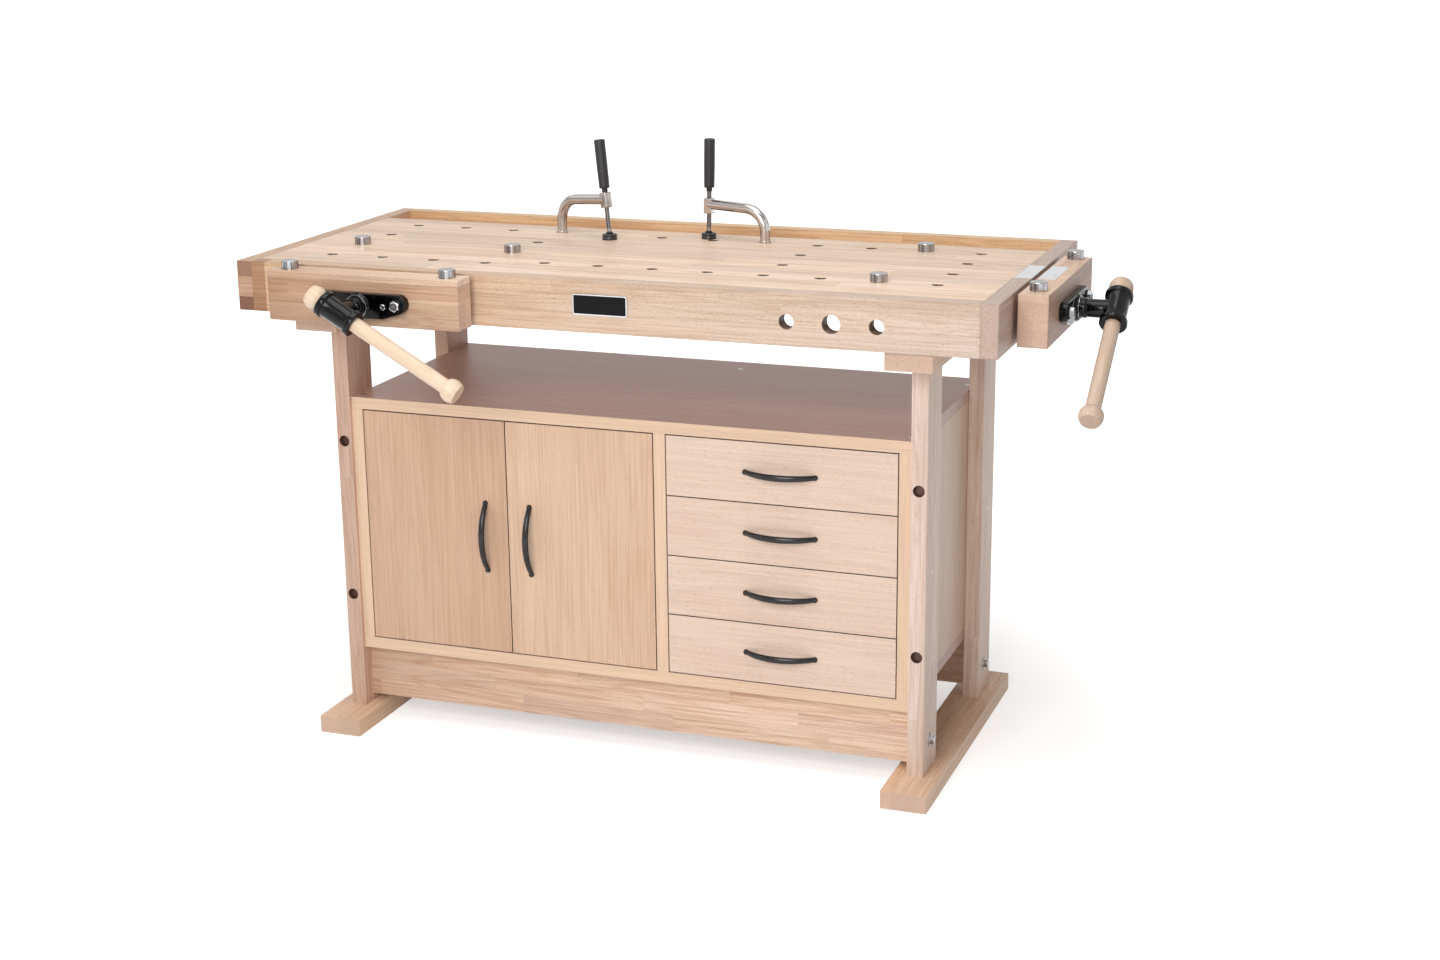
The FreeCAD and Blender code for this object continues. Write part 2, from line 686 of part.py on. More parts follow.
def drawer_runners():
    """Two battens to a drawer, in the grooves of its sides."""
    solids = []
    thick = DRAWER_SIDE_GAP + RUNNER_BITE
    for index in range(DRAWERS):
        for x0 in (DIVIDER_RIGHT, BAY_RIGHT - thick):
            z = runner_z(index)
            solids.append(box(x0, x0 + thick, FRONT_BACK + FRONT_GAP, FRONT_BACK + FRONT_GAP + RUNNER_LENGTH,
                              z, z + RUNNER_HEIGHT))
    return group(solids)


# ---- doors, drawers and their pulls ----
def pull(x, z, upright):
    """A bow pull on the front plane, with its feet on the panel."""
    half = PULL_SPAN / 2
    rise = PULL_REACH - PULL_R
    bow_r = (half ** 2 + rise ** 2) / (2 * rise)
    middle = V(x, CABINET_Y - rise + bow_r, z)
    axis = V(1, 0, 0) if upright else V(0, 0, 1)
    ring = Part.makeTorus(bow_r, PULL_R, middle, axis)
    reach = bow_r + PULL_SPAN
    front = box(x - reach, x + reach, CABINET_Y - reach, CABINET_Y, z - reach, z + reach)
    along = V(0, 0, 1) if upright else V(1, 0, 0)
    feet = [Part.makeCylinder(PULL_FOOT_R, PULL_FOOT, V(x, CABINET_Y, z) + along * half * side, V(0, -1, 0))
            for side in (-1, 1)]
    return united([ring.common(front)] + feet)


def door(x0):
    """A flush door with the pockets of its two hinge cups."""
    return box(x0, x0 + DOOR_WIDTH, CABINET_Y, FRONT_BACK, DOOR_Z, DOOR_TOP)


def door_edges():
    """Hinge edge and free edge of each door."""
    left = BAY_LEFT + FRONT_GAP
    right = DIVIDER_LEFT - FRONT_GAP
    return {"left": (left, left + DOOR_WIDTH, 1), "right": (right, right - DOOR_WIDTH, -1)}


def hinge_cups(side):
    """Cups in the door, each with its flange on the door's inner face."""
    edge, _, way = door_edges()[side]
    x = edge + way * CUP_FROM_EDGE
    solids = []
    for z in hinge_heights():
        cup = rod(CUP_R, (x, FRONT_BACK - CUP_DEPTH, z), (x, FRONT_BACK, z))
        flange = box(x - CUP_R, x + CUP_R, FRONT_BACK, FRONT_BACK + CUP_FLANGE,
                     z - HINGE_FLANGE_HEIGHT / 2, z + HINGE_FLANGE_HEIGHT / 2)
        solids.append(united([cup, flange]))
    return solids


def hung_door(side):
    """A door with its cup pockets cut."""
    edge, free, _ = door_edges()[side]
    return door(min(edge, free)).cut(hinge_cups(side))


def door_fittings(side):
    """A door's pull and its hinge cups."""
    _, free, way = door_edges()[side]
    return group([pull(free - way * PULL_FROM_EDGE, (DOOR_Z + DOOR_TOP) / 2, True)] + hinge_cups(side))


def drawer(index):
    """Front, grooved sides, back and bottom of a drawer."""
    z = drawer_z(index)
    low = z + DRAWER_BOX_RISE
    high = low + DRAWER_BOX_HEIGHT
    back = FRONT_BACK + DRAWER_BOX_DEPTH
    inner_left = DRAWER_LEFT + DRAWER_SIDE
    inner_right = DRAWER_RIGHT - DRAWER_SIDE
    front = box(DIVIDER_RIGHT + FRONT_GAP, BAY_RIGHT - FRONT_GAP, CABINET_Y, FRONT_BACK,
                z, z + DRAWER_HEIGHT)
    bite = RUNNER_BITE + RUNNER_GAP
    groove_z = (runner_z(index) - RUNNER_GAP, runner_z(index) + RUNNER_HEIGHT + RUNNER_GAP)
    left = box(DRAWER_LEFT, inner_left, FRONT_BACK, back, low, high).cut(
        box(DRAWER_LEFT, DRAWER_LEFT + bite, FRONT_BACK, back, *groove_z))
    right = box(inner_right, DRAWER_RIGHT, FRONT_BACK, back, low, high).cut(
        box(DRAWER_RIGHT - bite, DRAWER_RIGHT, FRONT_BACK, back, *groove_z))
    rear = box(inner_left, inner_right, back - DRAWER_SIDE, back, low, high)
    floor = box(inner_left, inner_right, FRONT_BACK, back - DRAWER_SIDE, low, low + DRAWER_BOTTOM)
    return group([front, left, right, rear, floor])


def drawer_pull(index):
    """A drawer's bow pull, at the middle of its front."""
    return pull((DIVIDER_RIGHT + BAY_RIGHT) / 2, drawer_z(index) + DRAWER_HEIGHT / 2, False)


# ---- vises, each in its own frame ----
def vise_plate_outline():
    """Closed outline of the cast plate: straight on top, tapered below towards its round tips."""
    flat = VISE_PLATE_FLAT / 2
    end = VISE_PLATE_LENGTH / 2
    half = VISE_PLATE_HEIGHT / 2
    tip_x, tip_y = end - VISE_PLATE_TIP_R, half - VISE_PLATE_TIP_R
    reach = math.hypot(tip_x - flat, tip_y + half)
    slope = math.atan2(tip_y + half, tip_x - flat) - math.asin(VISE_PLATE_TIP_R / reach)
    taper = math.sqrt(reach ** 2 - VISE_PLATE_TIP_R ** 2)
    x, y = flat + taper * math.cos(slope), taper * math.sin(slope) - half
    edges = [Part.LineSegment(V(-tip_x, half, 0), V(tip_x, half, 0)).toShape(),
             Part.LineSegment(V(-flat, -half, 0), V(flat, -half, 0)).toShape()]
    for side in (-1, 1):
        edges.append(Part.Arc(V(side * tip_x, half, 0), V(side * end, tip_y, 0), V(side * x, y, 0)).toShape())
        edges.append(Part.LineSegment(V(side * flat, -half, 0), V(side * x, y, 0)).toShape())
    outline = Part.Face(Part.Wire(Part.__sortEdges__(edges)))
    outline.translate(V(0, VISE_PLATE_RISE, 0))
    return outline


def vise_plate():
    """Cast plate on the jaw's face, with the hub around the screw."""
    plate = vise_plate_outline().extrude(V(0, 0, VISE_PLATE_THICK))
    plate = ease(plate, VISE_PLATE_EASE, lambda c: c.z > VISE_PLATE_THICK - TOUCH)
    hub = cone(HUB_FOOT_R, HUB_R, (0, 0, VISE_PLATE_THICK - VISE_PLATE_EASE),
               (0, 0, VISE_PLATE_THICK + HUB_HEIGHT))
    holes = vise_bores(SCREW_SHAFT_R + SHAFT_FIT, GUIDE_R) + plate_screws()
    return united([plate, hub]).cut(holes)


def plate_screws():
    """Two screws that hold the cast plate on the jaw."""
    solids = []
    for side in (-1, 1):
        x, y = side * PLATE_SCREW_X, VISE_PLATE_RISE
        head_top = VISE_PLATE_THICK + PLATE_SCREW_HEAD
        head = rod(PLATE_SCREW_R, (x, y, VISE_PLATE_THICK), (x, y, head_top))
        shank = rod(SCREW_R, (x, y, head_top - PLATE_SCREW_LENGTH), (x, y, VISE_PLATE_THICK))
        solids.append(united([head, shank]))
    return solids


def vise_guides():
    """Two guide rods with washers and nuts, and the plate's screws."""
    solids = []
    face = VISE_PLATE_THICK
    nut_top = face + WASHER + GUIDE_NUT
    for x, y in guide_places():
        shaft = rod(GUIDE_R, (x, y, -SHAFT_LENGTH), (x, y, face + WASHER))
        washer = rod(GUIDE_WASHER_R, (x, y, face), (x, y, face + WASHER))
        nut = hexagon(V(x, y, face + WASHER), V(0, 0, 1), GUIDE_NUT_R, GUIDE_NUT)
        tip = rod(GUIDE_TIP_R, (x, y, nut_top), (x, y, nut_top + GUIDE_TIP))
        solids.append(united([shaft, washer, nut, tip]))
    return solids + plate_screws()


def handle_way(angle):
    """Direction of the handle's long end, in the vise's own frame."""
    return V(math.cos(math.radians(angle)), math.sin(math.radians(angle)), 0)


def vise_screw(angle):
    """Screw shaft, collar, neck and the socket that holds the handle."""
    collar = VISE_PLATE_THICK + HUB_HEIGHT
    bush = collar + COLLAR_HEIGHT
    neck = bush + BUSH_LENGTH
    way = handle_way(angle)
    middle = V(0, 0, HANDLE_REACH)
    socket = [Part.makeCylinder(SOCKET_R, 2 * SOCKET_HALF, middle - way * SOCKET_HALF, way)]
    for side in (-1, 1):
        rim_start = middle + way * (side * (SOCKET_HALF - SOCKET_RIM))
        socket.append(Part.makeCylinder(SOCKET_RIM_R, SOCKET_RIM, rim_start, way * side))
    solid = united([
        rod(SCREW_SHAFT_R, (0, 0, -SHAFT_LENGTH), (0, 0, neck)),
        rod(COLLAR_R, (0, 0, collar), (0, 0, bush)),
        rod(BUSH_R, (0, 0, bush), (0, 0, neck)),
        rod(NECK_R, (0, 0, neck), (0, 0, HANDLE_REACH)),
    ] + socket)
    through = way * (2 * SOCKET_HALF)
    return solid.cut(Part.makeCylinder(HANDLE_ROD_R + SOCKET_GAP, 2 * through.Length, middle - through, way))


def knob(middle, inward):
    """A turned wooden knob, flat on the rod's side and at its tip."""
    tip = -math.degrees(math.asin(KNOB_OUTER / KNOB_R))
    foot = math.degrees(math.asin(KNOB_INNER / KNOB_R))
    return Part.makeSphere(KNOB_R, middle, inward, tip, foot, 360)


def vise_handle(angle):
    """Wooden rod with a knob at each end, the short end's knob on the socket."""
    way = handle_way(angle)
    near = V(0, 0, HANDLE_REACH) - way * (SOCKET_HALF + KNOB_INNER)
    far = near + way * HANDLE_LENGTH
    bar = Part.makeCylinder(HANDLE_ROD_R, HANDLE_LENGTH, near, way)
    return [bar, knob(near, way).cut(bar), knob(far, -way).cut(bar)]


def vise_nut(board_face):
    """Casting behind the board: the screw's nut and the guides' bearings."""
    half = VISE_PLATE_LENGTH / 2
    back = board_face - NUT_PLATE_THICK
    solids = [box(-half, half, -VISE_PLATE_HEIGHT / 2, VISE_PLATE_HEIGHT / 2, back, board_face)]
    solids.append(rod(NUT_BOSS_R, (0, 0, back - NUT_BOSS), (0, 0, back)))
    for x, y in guide_places():
        solids.append(rod(GUIDE_BOSS_R, (x, y, back - NUT_BOSS), (x, y, back)))
    return united(solids).cut(vise_bores(SCREW_SHAFT_R + SHAFT_FIT, GUIDE_R + GUIDE_FIT))


def vise_nuts():
    """The castings of both vises, on the apron and on the right end cap."""
    front = vise_nut(FRONT_JAW_FACE - BOARD)
    end = vise_nut(BENCH_LENGTH - BOARD - END_JAW_FACE)
    return group([placed(front, vise_frame("front")), placed(end, vise_frame("end"))])


def jaw_cuts(kind, dogs, height):
    """Holes of a jaw for its screw, guides, plate screws and dogs."""
    own = vise_bores(SCREW_SHAFT_R + LOOSE_FIT / 2, GUIDE_R) + plate_screws()
    return [placed(b, vise_frame(kind)) for b in own] + [dog_bore(x, y, height) for x, y in dogs]


def front_jaw():
    """Wooden jaw of the front vise."""
    block = box(FRONT_JAW_X, FRONT_JAW_X + FRONT_JAW_LENGTH, FRONT_JAW_FACE, -FRONT_JAW_GAP,
                TOP_Z - FRONT_JAW_HEIGHT, TOP_Z)
    block = block.makeFillet(JAW_EASE, block.Edges)
    return block.cut(jaw_cuts("front", FRONT_JAW_DOGS, FRONT_JAW_HEIGHT))


def end_jaw():
    """Wooden jaw of the end vise, with its inlaid plate's recess."""
    block = box(END_JAW_X, END_JAW_FACE, END_JAW_Y, END_JAW_Y + END_JAW_LENGTH,
                TOP_Z - END_JAW_HEIGHT, TOP_Z)
    block = block.makeFillet(JAW_EASE, block.Edges)
    return block.cut(jaw_cuts("end", END_JAW_DOGS, END_JAW_HEIGHT) + [steel_pocket(END_JAW_X + JAW_EASE)])


# ---- bench dogs and holdfasts ----
def dog_places():
    """Middle of each bench dog."""
    left_row = row_y(0, 1)
    last = DOG_FIRST_X + (DOG_COLUMNS - 2) * DOG_PITCH
    field = ((DOG_FIRST_X, left_row), (DOG_FIRST_X + (DOG_LEFT_COLUMNS - 1) * DOG_PITCH, left_row),
             (last, DOG_RIGHT_ROW_Y), (last, DOG_BACK_ROW_Y))
    return field + FRONT_JAW_DOGS + END_JAW_DOGS


def bench_dog(x, y):
    """Round steel dog: a head on the surface and a shank in the hole."""
    head = rod(DOG_HEAD_R, (x, y, TOP_Z), (x, y, TOP_Z + DOG_HEAD))
    head = ease(head, DOG_HEAD_EASE, lambda c: c.z > TOP_Z + DOG_HEAD - TOUCH)
    shank = rod(DOG_HOLE_R - DOG_FIT, (x, y, TOP_Z - DOG_SHANK), (x, y, TOP_Z))
    return united([head, shank])


def holdfast_frame(side):
    """Placement of a holdfast's own frame: origin in its hole's mouth, X along the arm."""
    own = HOLDFASTS[side]
    place = V(DOG_FIRST_X + own["column"] * DOG_PITCH, DOG_BACK_ROW_Y, TOP_Z)
    return FreeCAD.Placement(place, FreeCAD.Rotation(V(0, 0, 1), own["turn"]))


def clamp_axis(own):
    """Middle of the pad's ball and the clamp screw's direction, up from it."""
    lean = math.radians(own["lean"])
    return V(own["reach"], 0, CLAMP_BALL_HEIGHT), V(-math.sin(lean), 0, math.cos(lean))


def holdfast_arm(side):
    """Bent steel tube with a seat ring, and the block that holds the clamp screw."""
    own = HOLDFASTS[side]
    rise = math.radians(own["rise"])
    turn = math.pi / 2 - rise
    tangent = HOLDFAST_BEND_R * math.tan(turn / 2)
    start = V(0, 0, own["height"] - tangent)
    post = Part.makeCylinder(HOLDFAST_R, HOLDFAST_SHANK + start.z, V(0, 0, -HOLDFAST_SHANK), V(0, 0, 1))
    section = Part.Face(Part.Wire(Part.makeCircle(HOLDFAST_R, start, V(0, 0, 1))))
    bend = section.revolve(start + V(HOLDFAST_BEND_R, 0, 0), V(0, 1, 0), math.degrees(turn))
    along = V(math.cos(rise), 0, math.sin(rise))
    corner = V(0, 0, own["height"])
    ball, axis = clamp_axis(own)
    block_middle = ball + axis * ((own["block"] - ball.z) / axis.z)
    arm_start = corner + along * tangent
    arm = Part.makeCylinder(HOLDFAST_R, (block_middle - arm_start).Length, arm_start, along)
    arm = arm.cut(slab_beyond(block_middle, along))
    ring = rod(HOLDFAST_RING_R, (0, 0, 0), (0, 0, HOLDFAST_RING))
    block = Part.makeBox(HOLDFAST_BLOCK, HOLDFAST_BLOCK_WIDTH, HOLDFAST_BLOCK_HEIGHT,
                         V(-HOLDFAST_BLOCK / 2, -HOLDFAST_BLOCK_WIDTH / 2, -HOLDFAST_BLOCK_HEIGHT / 2))
    block = block.makeFillet(BLOCK_EASE, block.Edges)
    block.Placement = FreeCAD.Placement(block_middle, FreeCAD.Rotation(V(0, 1, 0), -own["lean"]))
    bore_reach = axis * HOLDFAST_BLOCK_HEIGHT
    bore = Part.makeCylinder(CLAMP_SCREW_R + CLAMP_SCREW_FIT, 2 * bore_reach.Length,
                             block_middle - bore_reach, axis)
    return placed(united([post, bend, arm, ring, block]).cut(bore), holdfast_frame(side))


def slab_beyond(point, along):
    """A block that starts at a point and lies further along a direction."""
    size = 8 * HOLDFAST_R
    block = Part.makeBox(size, size, size, V(0, -size / 2, -size / 2))
    block.Placement = FreeCAD.Placement(point, FreeCAD.Rotation(V(1, 0, 0), along))
    return block


def clamp_screw(side):
    """Clamp screw with the ball that turns in the pad."""
    ball, axis = clamp_axis(HOLDFASTS[side])
    shaft = Part.makeCylinder(CLAMP_SCREW_R, GRIP_START + GRIP_NECK, ball, axis)
    return placed(united([Part.makeSphere(CLAMP_BALL_R, ball), shaft]), holdfast_frame(side))


def clamp_grip(side):
    """Moulded grip on the clamp screw's top."""
    ball, axis = clamp_axis(HOLDFASTS[side])
    foot = ball + axis * GRIP_START
    neck = Part.makeCylinder(GRIP_NECK_R, GRIP_NECK, foot, axis)
    body = Part.makeCone(GRIP_FOOT_R, GRIP_TOP_R, GRIP_LENGTH, foot + axis * GRIP_NECK, axis)
    body = body.makeFillet(GRIP_EASE, [e for e in body.Edges if e.Closed])
    shaft = Part.makeCylinder(CLAMP_SCREW_R, GRIP_START + GRIP_NECK, ball, axis)
    return placed(united([neck, body]).cut(shaft), holdfast_frame(side))


def clamp_pad(side):
    """Round pad on the bench top, with the ball's socket open upwards."""
    ball, _ = clamp_axis(HOLDFASTS[side])
    pad = Part.makeCylinder(CLAMP_PAD_R, CLAMP_PAD, V(ball.x, 0, 0), V(0, 0, 1))
    pad = ease(pad, CLAMP_PAD_EASE, lambda c: c.z > CLAMP_PAD - TOUCH)
    return placed(pad.cut(Part.makeSphere(CLAMP_BALL_R + CLAMP_BALL_FIT, ball)), holdfast_frame(side))


# ---- all nodes ----
def vise_nodes(kind, angle):
    """Nodes of one vise that ride on its jaw."""
    frame = vise_frame(kind)
    return {
        kind + "_vise_plate": placed(vise_plate(), frame),
        kind + "_vise_guides": group([placed(s, frame) for s in vise_guides()]),
        kind + "_vise_screw": placed(vise_screw(angle), frame),
        kind + "_vise_handle": group([placed(s, frame) for s in vise_handle(angle)]),
    }


def nodes():
    """Every node's shape by its name."""
    made = {
        "front_apron": front_apron(),
        "bench_field": bench_field(),
        "left_end_cap": left_end_cap(),
        "right_end_cap": right_end_cap(),
        "back_rim": back_rim(),
        "tray_floor": tray_floor(),
        "nameplate": nameplate(),
        "bench_steel_plate": steel_plate(BENCH_LENGTH - STEEL_PLATE_WIDTH),
        "feet": rails(0),
        "bearers": rails(BEARER_Z),
        "legs": legs(),
        "stretchers": stretchers(),
        "frame_bolts": frame_bolts(),
        "cabinet_sides": cabinet_sides(),
        "cabinet_decks": cabinet_decks(),
        "cabinet_divider": cabinet_divider(),
        "cabinet_back": cabinet_back(),
        "cabinet_shelf": cabinet_shelf(),
        "cabinet_fittings": cabinet_fittings(),
        "drawer_runners": drawer_runners(),
        "vise_nuts": vise_nuts(),
        "front_jaw": front_jaw(),
        "end_jaw": end_jaw(),
        "jaw_steel_plate": steel_plate(END_JAW_X + JAW_EASE),
    }
    for side in ("left", "right"):
        made[side + "_door"] = hung_door(side)
        made[side + "_door_fittings"] = door_fittings(side)
    for index in range(DRAWERS):
        made[f"drawer_{index + 1}"] = drawer(index)
        made[f"drawer_{index + 1}_pull"] = drawer_pull(index)
    made.update(vise_nodes("front", FRONT_HANDLE_ANGLE))
    made.update(vise_nodes("end", END_HANDLE_ANGLE))
    for number, (x, y) in enumerate(dog_places(), 1):
        made[f"bench_dog_{number}"] = bench_dog(x, y)
    for side in HOLDFASTS:
        made[side + "_holdfast_arm"] = holdfast_arm(side)
        made[side + "_clamp_screw"] = clamp_screw(side)
        made[side + "_clamp_grip"] = clamp_grip(side)
        made[side + "_clamp_pad"] = clamp_pad(side)
    return made


def write(made):
    """Writes each node about the middle of the footprint."""
    os.makedirs("parts", exist_ok=True)
    whole = group(list(made.values())).optimalBoundingBox(False)
    shift = V(-whole.Center.x, -whole.Center.y, -whole.ZMin)
    print("bench corner at", shift, "whole size", whole.XLength, whole.YLength, whole.ZLength)
    for name, shape in made.items():
        moved = shape.copy()
        moved.translate(shift)
        moved.exportStep(f"parts/{name}.step")
        if not moved.isValid():
            print("not valid:", name)


write(nodes())
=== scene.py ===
import math
import bpy
import bmesh
from mathutils import Matrix, Vector


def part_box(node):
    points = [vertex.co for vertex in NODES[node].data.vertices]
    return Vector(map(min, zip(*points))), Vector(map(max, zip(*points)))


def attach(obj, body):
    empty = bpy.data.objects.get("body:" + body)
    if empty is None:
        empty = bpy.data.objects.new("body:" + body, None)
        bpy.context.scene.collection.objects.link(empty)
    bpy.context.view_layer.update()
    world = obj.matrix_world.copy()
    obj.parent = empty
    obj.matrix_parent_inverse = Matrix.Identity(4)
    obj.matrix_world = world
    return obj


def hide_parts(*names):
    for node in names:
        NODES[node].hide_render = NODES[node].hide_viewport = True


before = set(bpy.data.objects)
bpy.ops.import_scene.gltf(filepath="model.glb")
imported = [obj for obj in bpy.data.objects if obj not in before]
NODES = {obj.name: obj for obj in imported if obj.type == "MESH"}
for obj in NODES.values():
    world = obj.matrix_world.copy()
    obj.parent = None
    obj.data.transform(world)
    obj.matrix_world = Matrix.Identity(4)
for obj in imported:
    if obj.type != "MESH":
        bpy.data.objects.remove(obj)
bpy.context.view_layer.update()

SCENE = bpy.context.scene
SCENE.view_settings.view_transform = "Standard"
MM = 0.001

# places on the bench in mm, as at() takes them: the middle of the whole model, the top's
# height, the vise screws' height, and the legs' middles on X and front edges on Y
CENTRE_X, CENTRE_Y = 781.5, 236.5
TOP = 900
VISE_HEIGHT = 848
LEG_WIDTH = 90
LEG_X = (150, 1250)
LEG_Y = (86, 492)
LEG_MIDDLES = tuple(y + LEG_WIDTH / 2 for y in LEG_Y)
# the legs' outer faces, each with the way into the leg on X
LEG_OUTER = ((135, 1), (1265, -1))
# behind the doors' and drawers' fronts
BACK_OF_FRONTS = 112.2
DRAWERS = range(1, 5)
DOGS = range(1, 9)


def at(x, y, z):
    """A place on the bench: mm from its left end, its apron's face and the floor."""
    return Vector((x - CENTRE_X, y - CENTRE_Y, z)) * MM


# ---- camera, floor and light ----
CAMERA_PLACE = (2175.757, -3418.17, 1597.139)
CAMERA_AXES = ((0.9398885, 0.3413321, -0.0101002),
               (-0.0836335, 0.2587677, 0.9623122),
               (0.3310817, -0.9036214, 0.2717596))
CAMERA_LENS = 55.487
SENSOR_WIDTH = 36
CLIP_END = 100
FLOOR_HALF = 30
FLOOR_GREY = (0.9, 0.92)
# the floor's own glow runs from the first strength to the second between two distances
FLOOR_GLOW = (0.5, 1.0)
GLOW_REACH = (0.5, 1.9)
GLOW_STRETCH = (0.8, 1.0, 0.0)
WORLD_LIGHT = 0.30
# name, place, aim, side in metres and power
LAMPS = (
    ("key", (0.25, -3.3, 2.05), (0.0, 0, 0.6), 1.7, 70),
    ("top", (0.1, -0.5, 3.4), (0.0, 0, 0.8), 2.0, 36),
    ("left", (-3.0, -1.8, 2.0), (0, 0, 0.6), 1.4, 9),
)


def camera():
    """The photograph's camera, as it was fitted to the bench's edges."""
    data = bpy.data.cameras.new("camera")
    data.sensor_fit = "HORIZONTAL"
    data.sensor_width = SENSOR_WIDTH
    data.lens = CAMERA_LENS
    data.clip_end = CLIP_END
    obj = bpy.data.objects.new("camera", data)
    turn = Matrix(CAMERA_AXES).transposed().to_4x4()
    obj.matrix_world = Matrix.Translation(at(*CAMERA_PLACE)) @ turn
    SCENE.collection.objects.link(obj)
    SCENE.camera = obj


class Mat:
    """A node material, with short calls for its nodes."""

    def __init__(self, name):
        self.m = bpy.data.materials.new(name)
        self.m.use_nodes = True
        self.t = self.m.node_tree
        self.t.nodes.clear()
        co = self.t.nodes.new("ShaderNodeTexCoord")
        self.place = co.outputs["Object"]
        self.normal = co.outputs["Normal"]

    def put(self, value, socket):
        if isinstance(value, bpy.types.NodeSocket):
            self.t.links.new(value, socket)
        elif isinstance(value, (tuple, list, Vector)) and socket.type == "RGBA":
            socket.default_value = (*value[:3], 1)
        else:
            socket.default_value = value

    def node(self, kind, ins=(), out=0, **props):
        n = self.t.nodes.new("ShaderNode" + kind)
        for k, v in props.items():
            setattr(n, k, v)
        for k, v in dict(ins).items():
            self.put(v, n.inputs[k])
        return n.outputs[out]

    def math(self, op, *args, clamp=False):
        return self.node("Math", dict(enumerate(args)), operation=op, use_clamp=clamp)

    def times(self, a, b):
        return self.math("MULTIPLY", a, b)

    def line(self, value, slope, offset):
        return self.math("MULTIPLY_ADD", value, slope, offset)

    def vec(self, x, y, z):
        return self.node("CombineXYZ", {0: x, 1: y, 2: z})

    def dot(self, a, b):
        return self.node("VectorMath", {0: a, 1: b}, out="Value", operation="DOT_PRODUCT")

    def noise(self, vector, scale, detail=2.0, rough=0.5, warp=0.0):
        return self.node("TexNoise", {"Vector": vector, "Scale": scale, "Detail": detail,
                                      "Roughness": rough, "Distortion": warp})

    def white_noise(self, vector, out):
        return self.node("TexWhiteNoise", {"Vector": vector}, out=out, noise_dimensions="3D")

    def span(self, value, a, b, c=0.0, d=1.0, smooth=False):
        """Maps a..b on c..d, held inside."""
        return self.node("MapRange", {0: value, 1: a, 2: b, 3: c, 4: d},
                         interpolation_type="SMOOTHSTEP" if smooth else "LINEAR")

    def mix(self, fac, a, b, blend="MIX"):
        n = self.t.nodes.new("ShaderNodeMix")
        n.data_type = "RGBA"
        n.blend_type = blend
        self.put(fac, n.inputs[0])
        self.put(a, n.inputs[6])
        self.put(b, n.inputs[7])
        return n.outputs[2]

    def tinted(self, colour, tint):
        """A colour times a colour."""
        return self.mix(1.0, colour, tint, "MULTIPLY")

    def scaled(self, colour, value):
        """A colour times a number."""
        return self.node("VectorMath", {0: colour, "Scale": value}, operation="SCALE")

    def split(self, vector):
        n = self.t.nodes.new("ShaderNodeSeparateXYZ")
        self.put(vector, n.inputs[0])
        return n.outputs

    def facing(self, way):
        """How far the surface looks along a way or back along it, 0 to 1."""
        return self.math("ABSOLUTE", self.dot(self.normal, way))

    def bump(self, height, strength, depth):
        return self.node("Bump", {"Height": height, "Strength": strength, "Distance": depth})

    def finish(self, **ins):
        shader = self.t.nodes.new("ShaderNodeBsdfPrincipled")
        for k, v in ins.items():
            self.put(v, shader.inputs[k.replace("_", " ")])
        out = self.t.nodes.new("ShaderNodeOutputMaterial")
        self.t.links.new(shader.outputs[0], out.inputs[0])
        return self.m


def srgb(*rgb):
    """Linear colour of a written 0-255 one."""
    return tuple((c / 255 / 12.92) if c <= 10 else ((c / 255 + 0.055) / 1.055) ** 2.4
                 for c in rgb)


def direct_rays(tree):
    """1 for the rays that see a thing: the camera's, and those that metal or glass sends on."""
    path = tree.nodes.new("ShaderNodeLightPath")
    seen = path.outputs["Is Camera Ray"]
    for name in ("Is Glossy Ray", "Is Transmission Ray"):
        most = tree.nodes.new("ShaderNodeMath")
        most.operation = "MAXIMUM"
        tree.links.new(seen, most.inputs[0])
        tree.links.new(path.outputs[name], most.inputs[1])
        seen = most.outputs[0]
    return seen


def studio_floor():
    """Pale floor that keeps the bench's shadow and runs out to white around it."""
    m = Mat("studio_floor")
    shade = m.span(m.noise(m.place, 3), 0.3, 0.7, *FLOOR_GREY)
    lit = m.node("BsdfDiffuse", {"Color": m.vec(shade, shade, shade)})
    flat = m.node("VectorMath", {0: m.place, 1: GLOW_STRETCH}, operation="MULTIPLY")
    away = m.node("VectorMath", {0: flat}, out="Value", operation="LENGTH")
    strength = m.span(away, *GLOW_REACH, *FLOOR_GLOW, True)
    glow = m.node("Emission", {"Color": (1, 1, 1), "Strength": strength})
    dark = m.node("Emission", {"Color": (0, 0, 0), "Strength": 0.0})
    extra = m.node("MixShader", {0: direct_rays(m.t), 1: dark, 2: glow})
    out = m.t.nodes.new("ShaderNodeOutputMaterial")
    m.t.links.new(m.node("AddShader", {0: lit, 1: extra}), out.inputs[0])
    mesh = bpy.data.meshes.new("studio_floor")
    s = FLOOR_HALF
    mesh.from_pydata([(-s, -s, 0), (s, -s, 0), (s, s, 0), (-s, s, 0)], [], [(0, 1, 2, 3)])
    mesh.materials.append(m.m)
    floor = bpy.data.objects.new("studio_floor", mesh)
    SCENE.collection.objects.link(floor)


def studio_world():
    """Plain grey light all round, seen as white."""
    world = bpy.data.worlds.new("studio")
    SCENE.world = world
    world.use_nodes = True
    t = world.node_tree
    t.nodes.clear()
    mix = t.nodes.new("ShaderNodeMixShader")
    t.links.new(direct_rays(t), mix.inputs[0])
    for slot, strength in ((1, WORLD_LIGHT), (2, 1.0)):
        back = t.nodes.new("ShaderNodeBackground")
        back.inputs[0].default_value = (1, 1, 1, 1)
        back.inputs[1].default_value = strength
        t.links.new(back.outputs[0], mix.inputs[slot])
    out = t.nodes.new("ShaderNodeOutputWorld")
    t.links.new(mix.outputs[0], out.inputs[0])


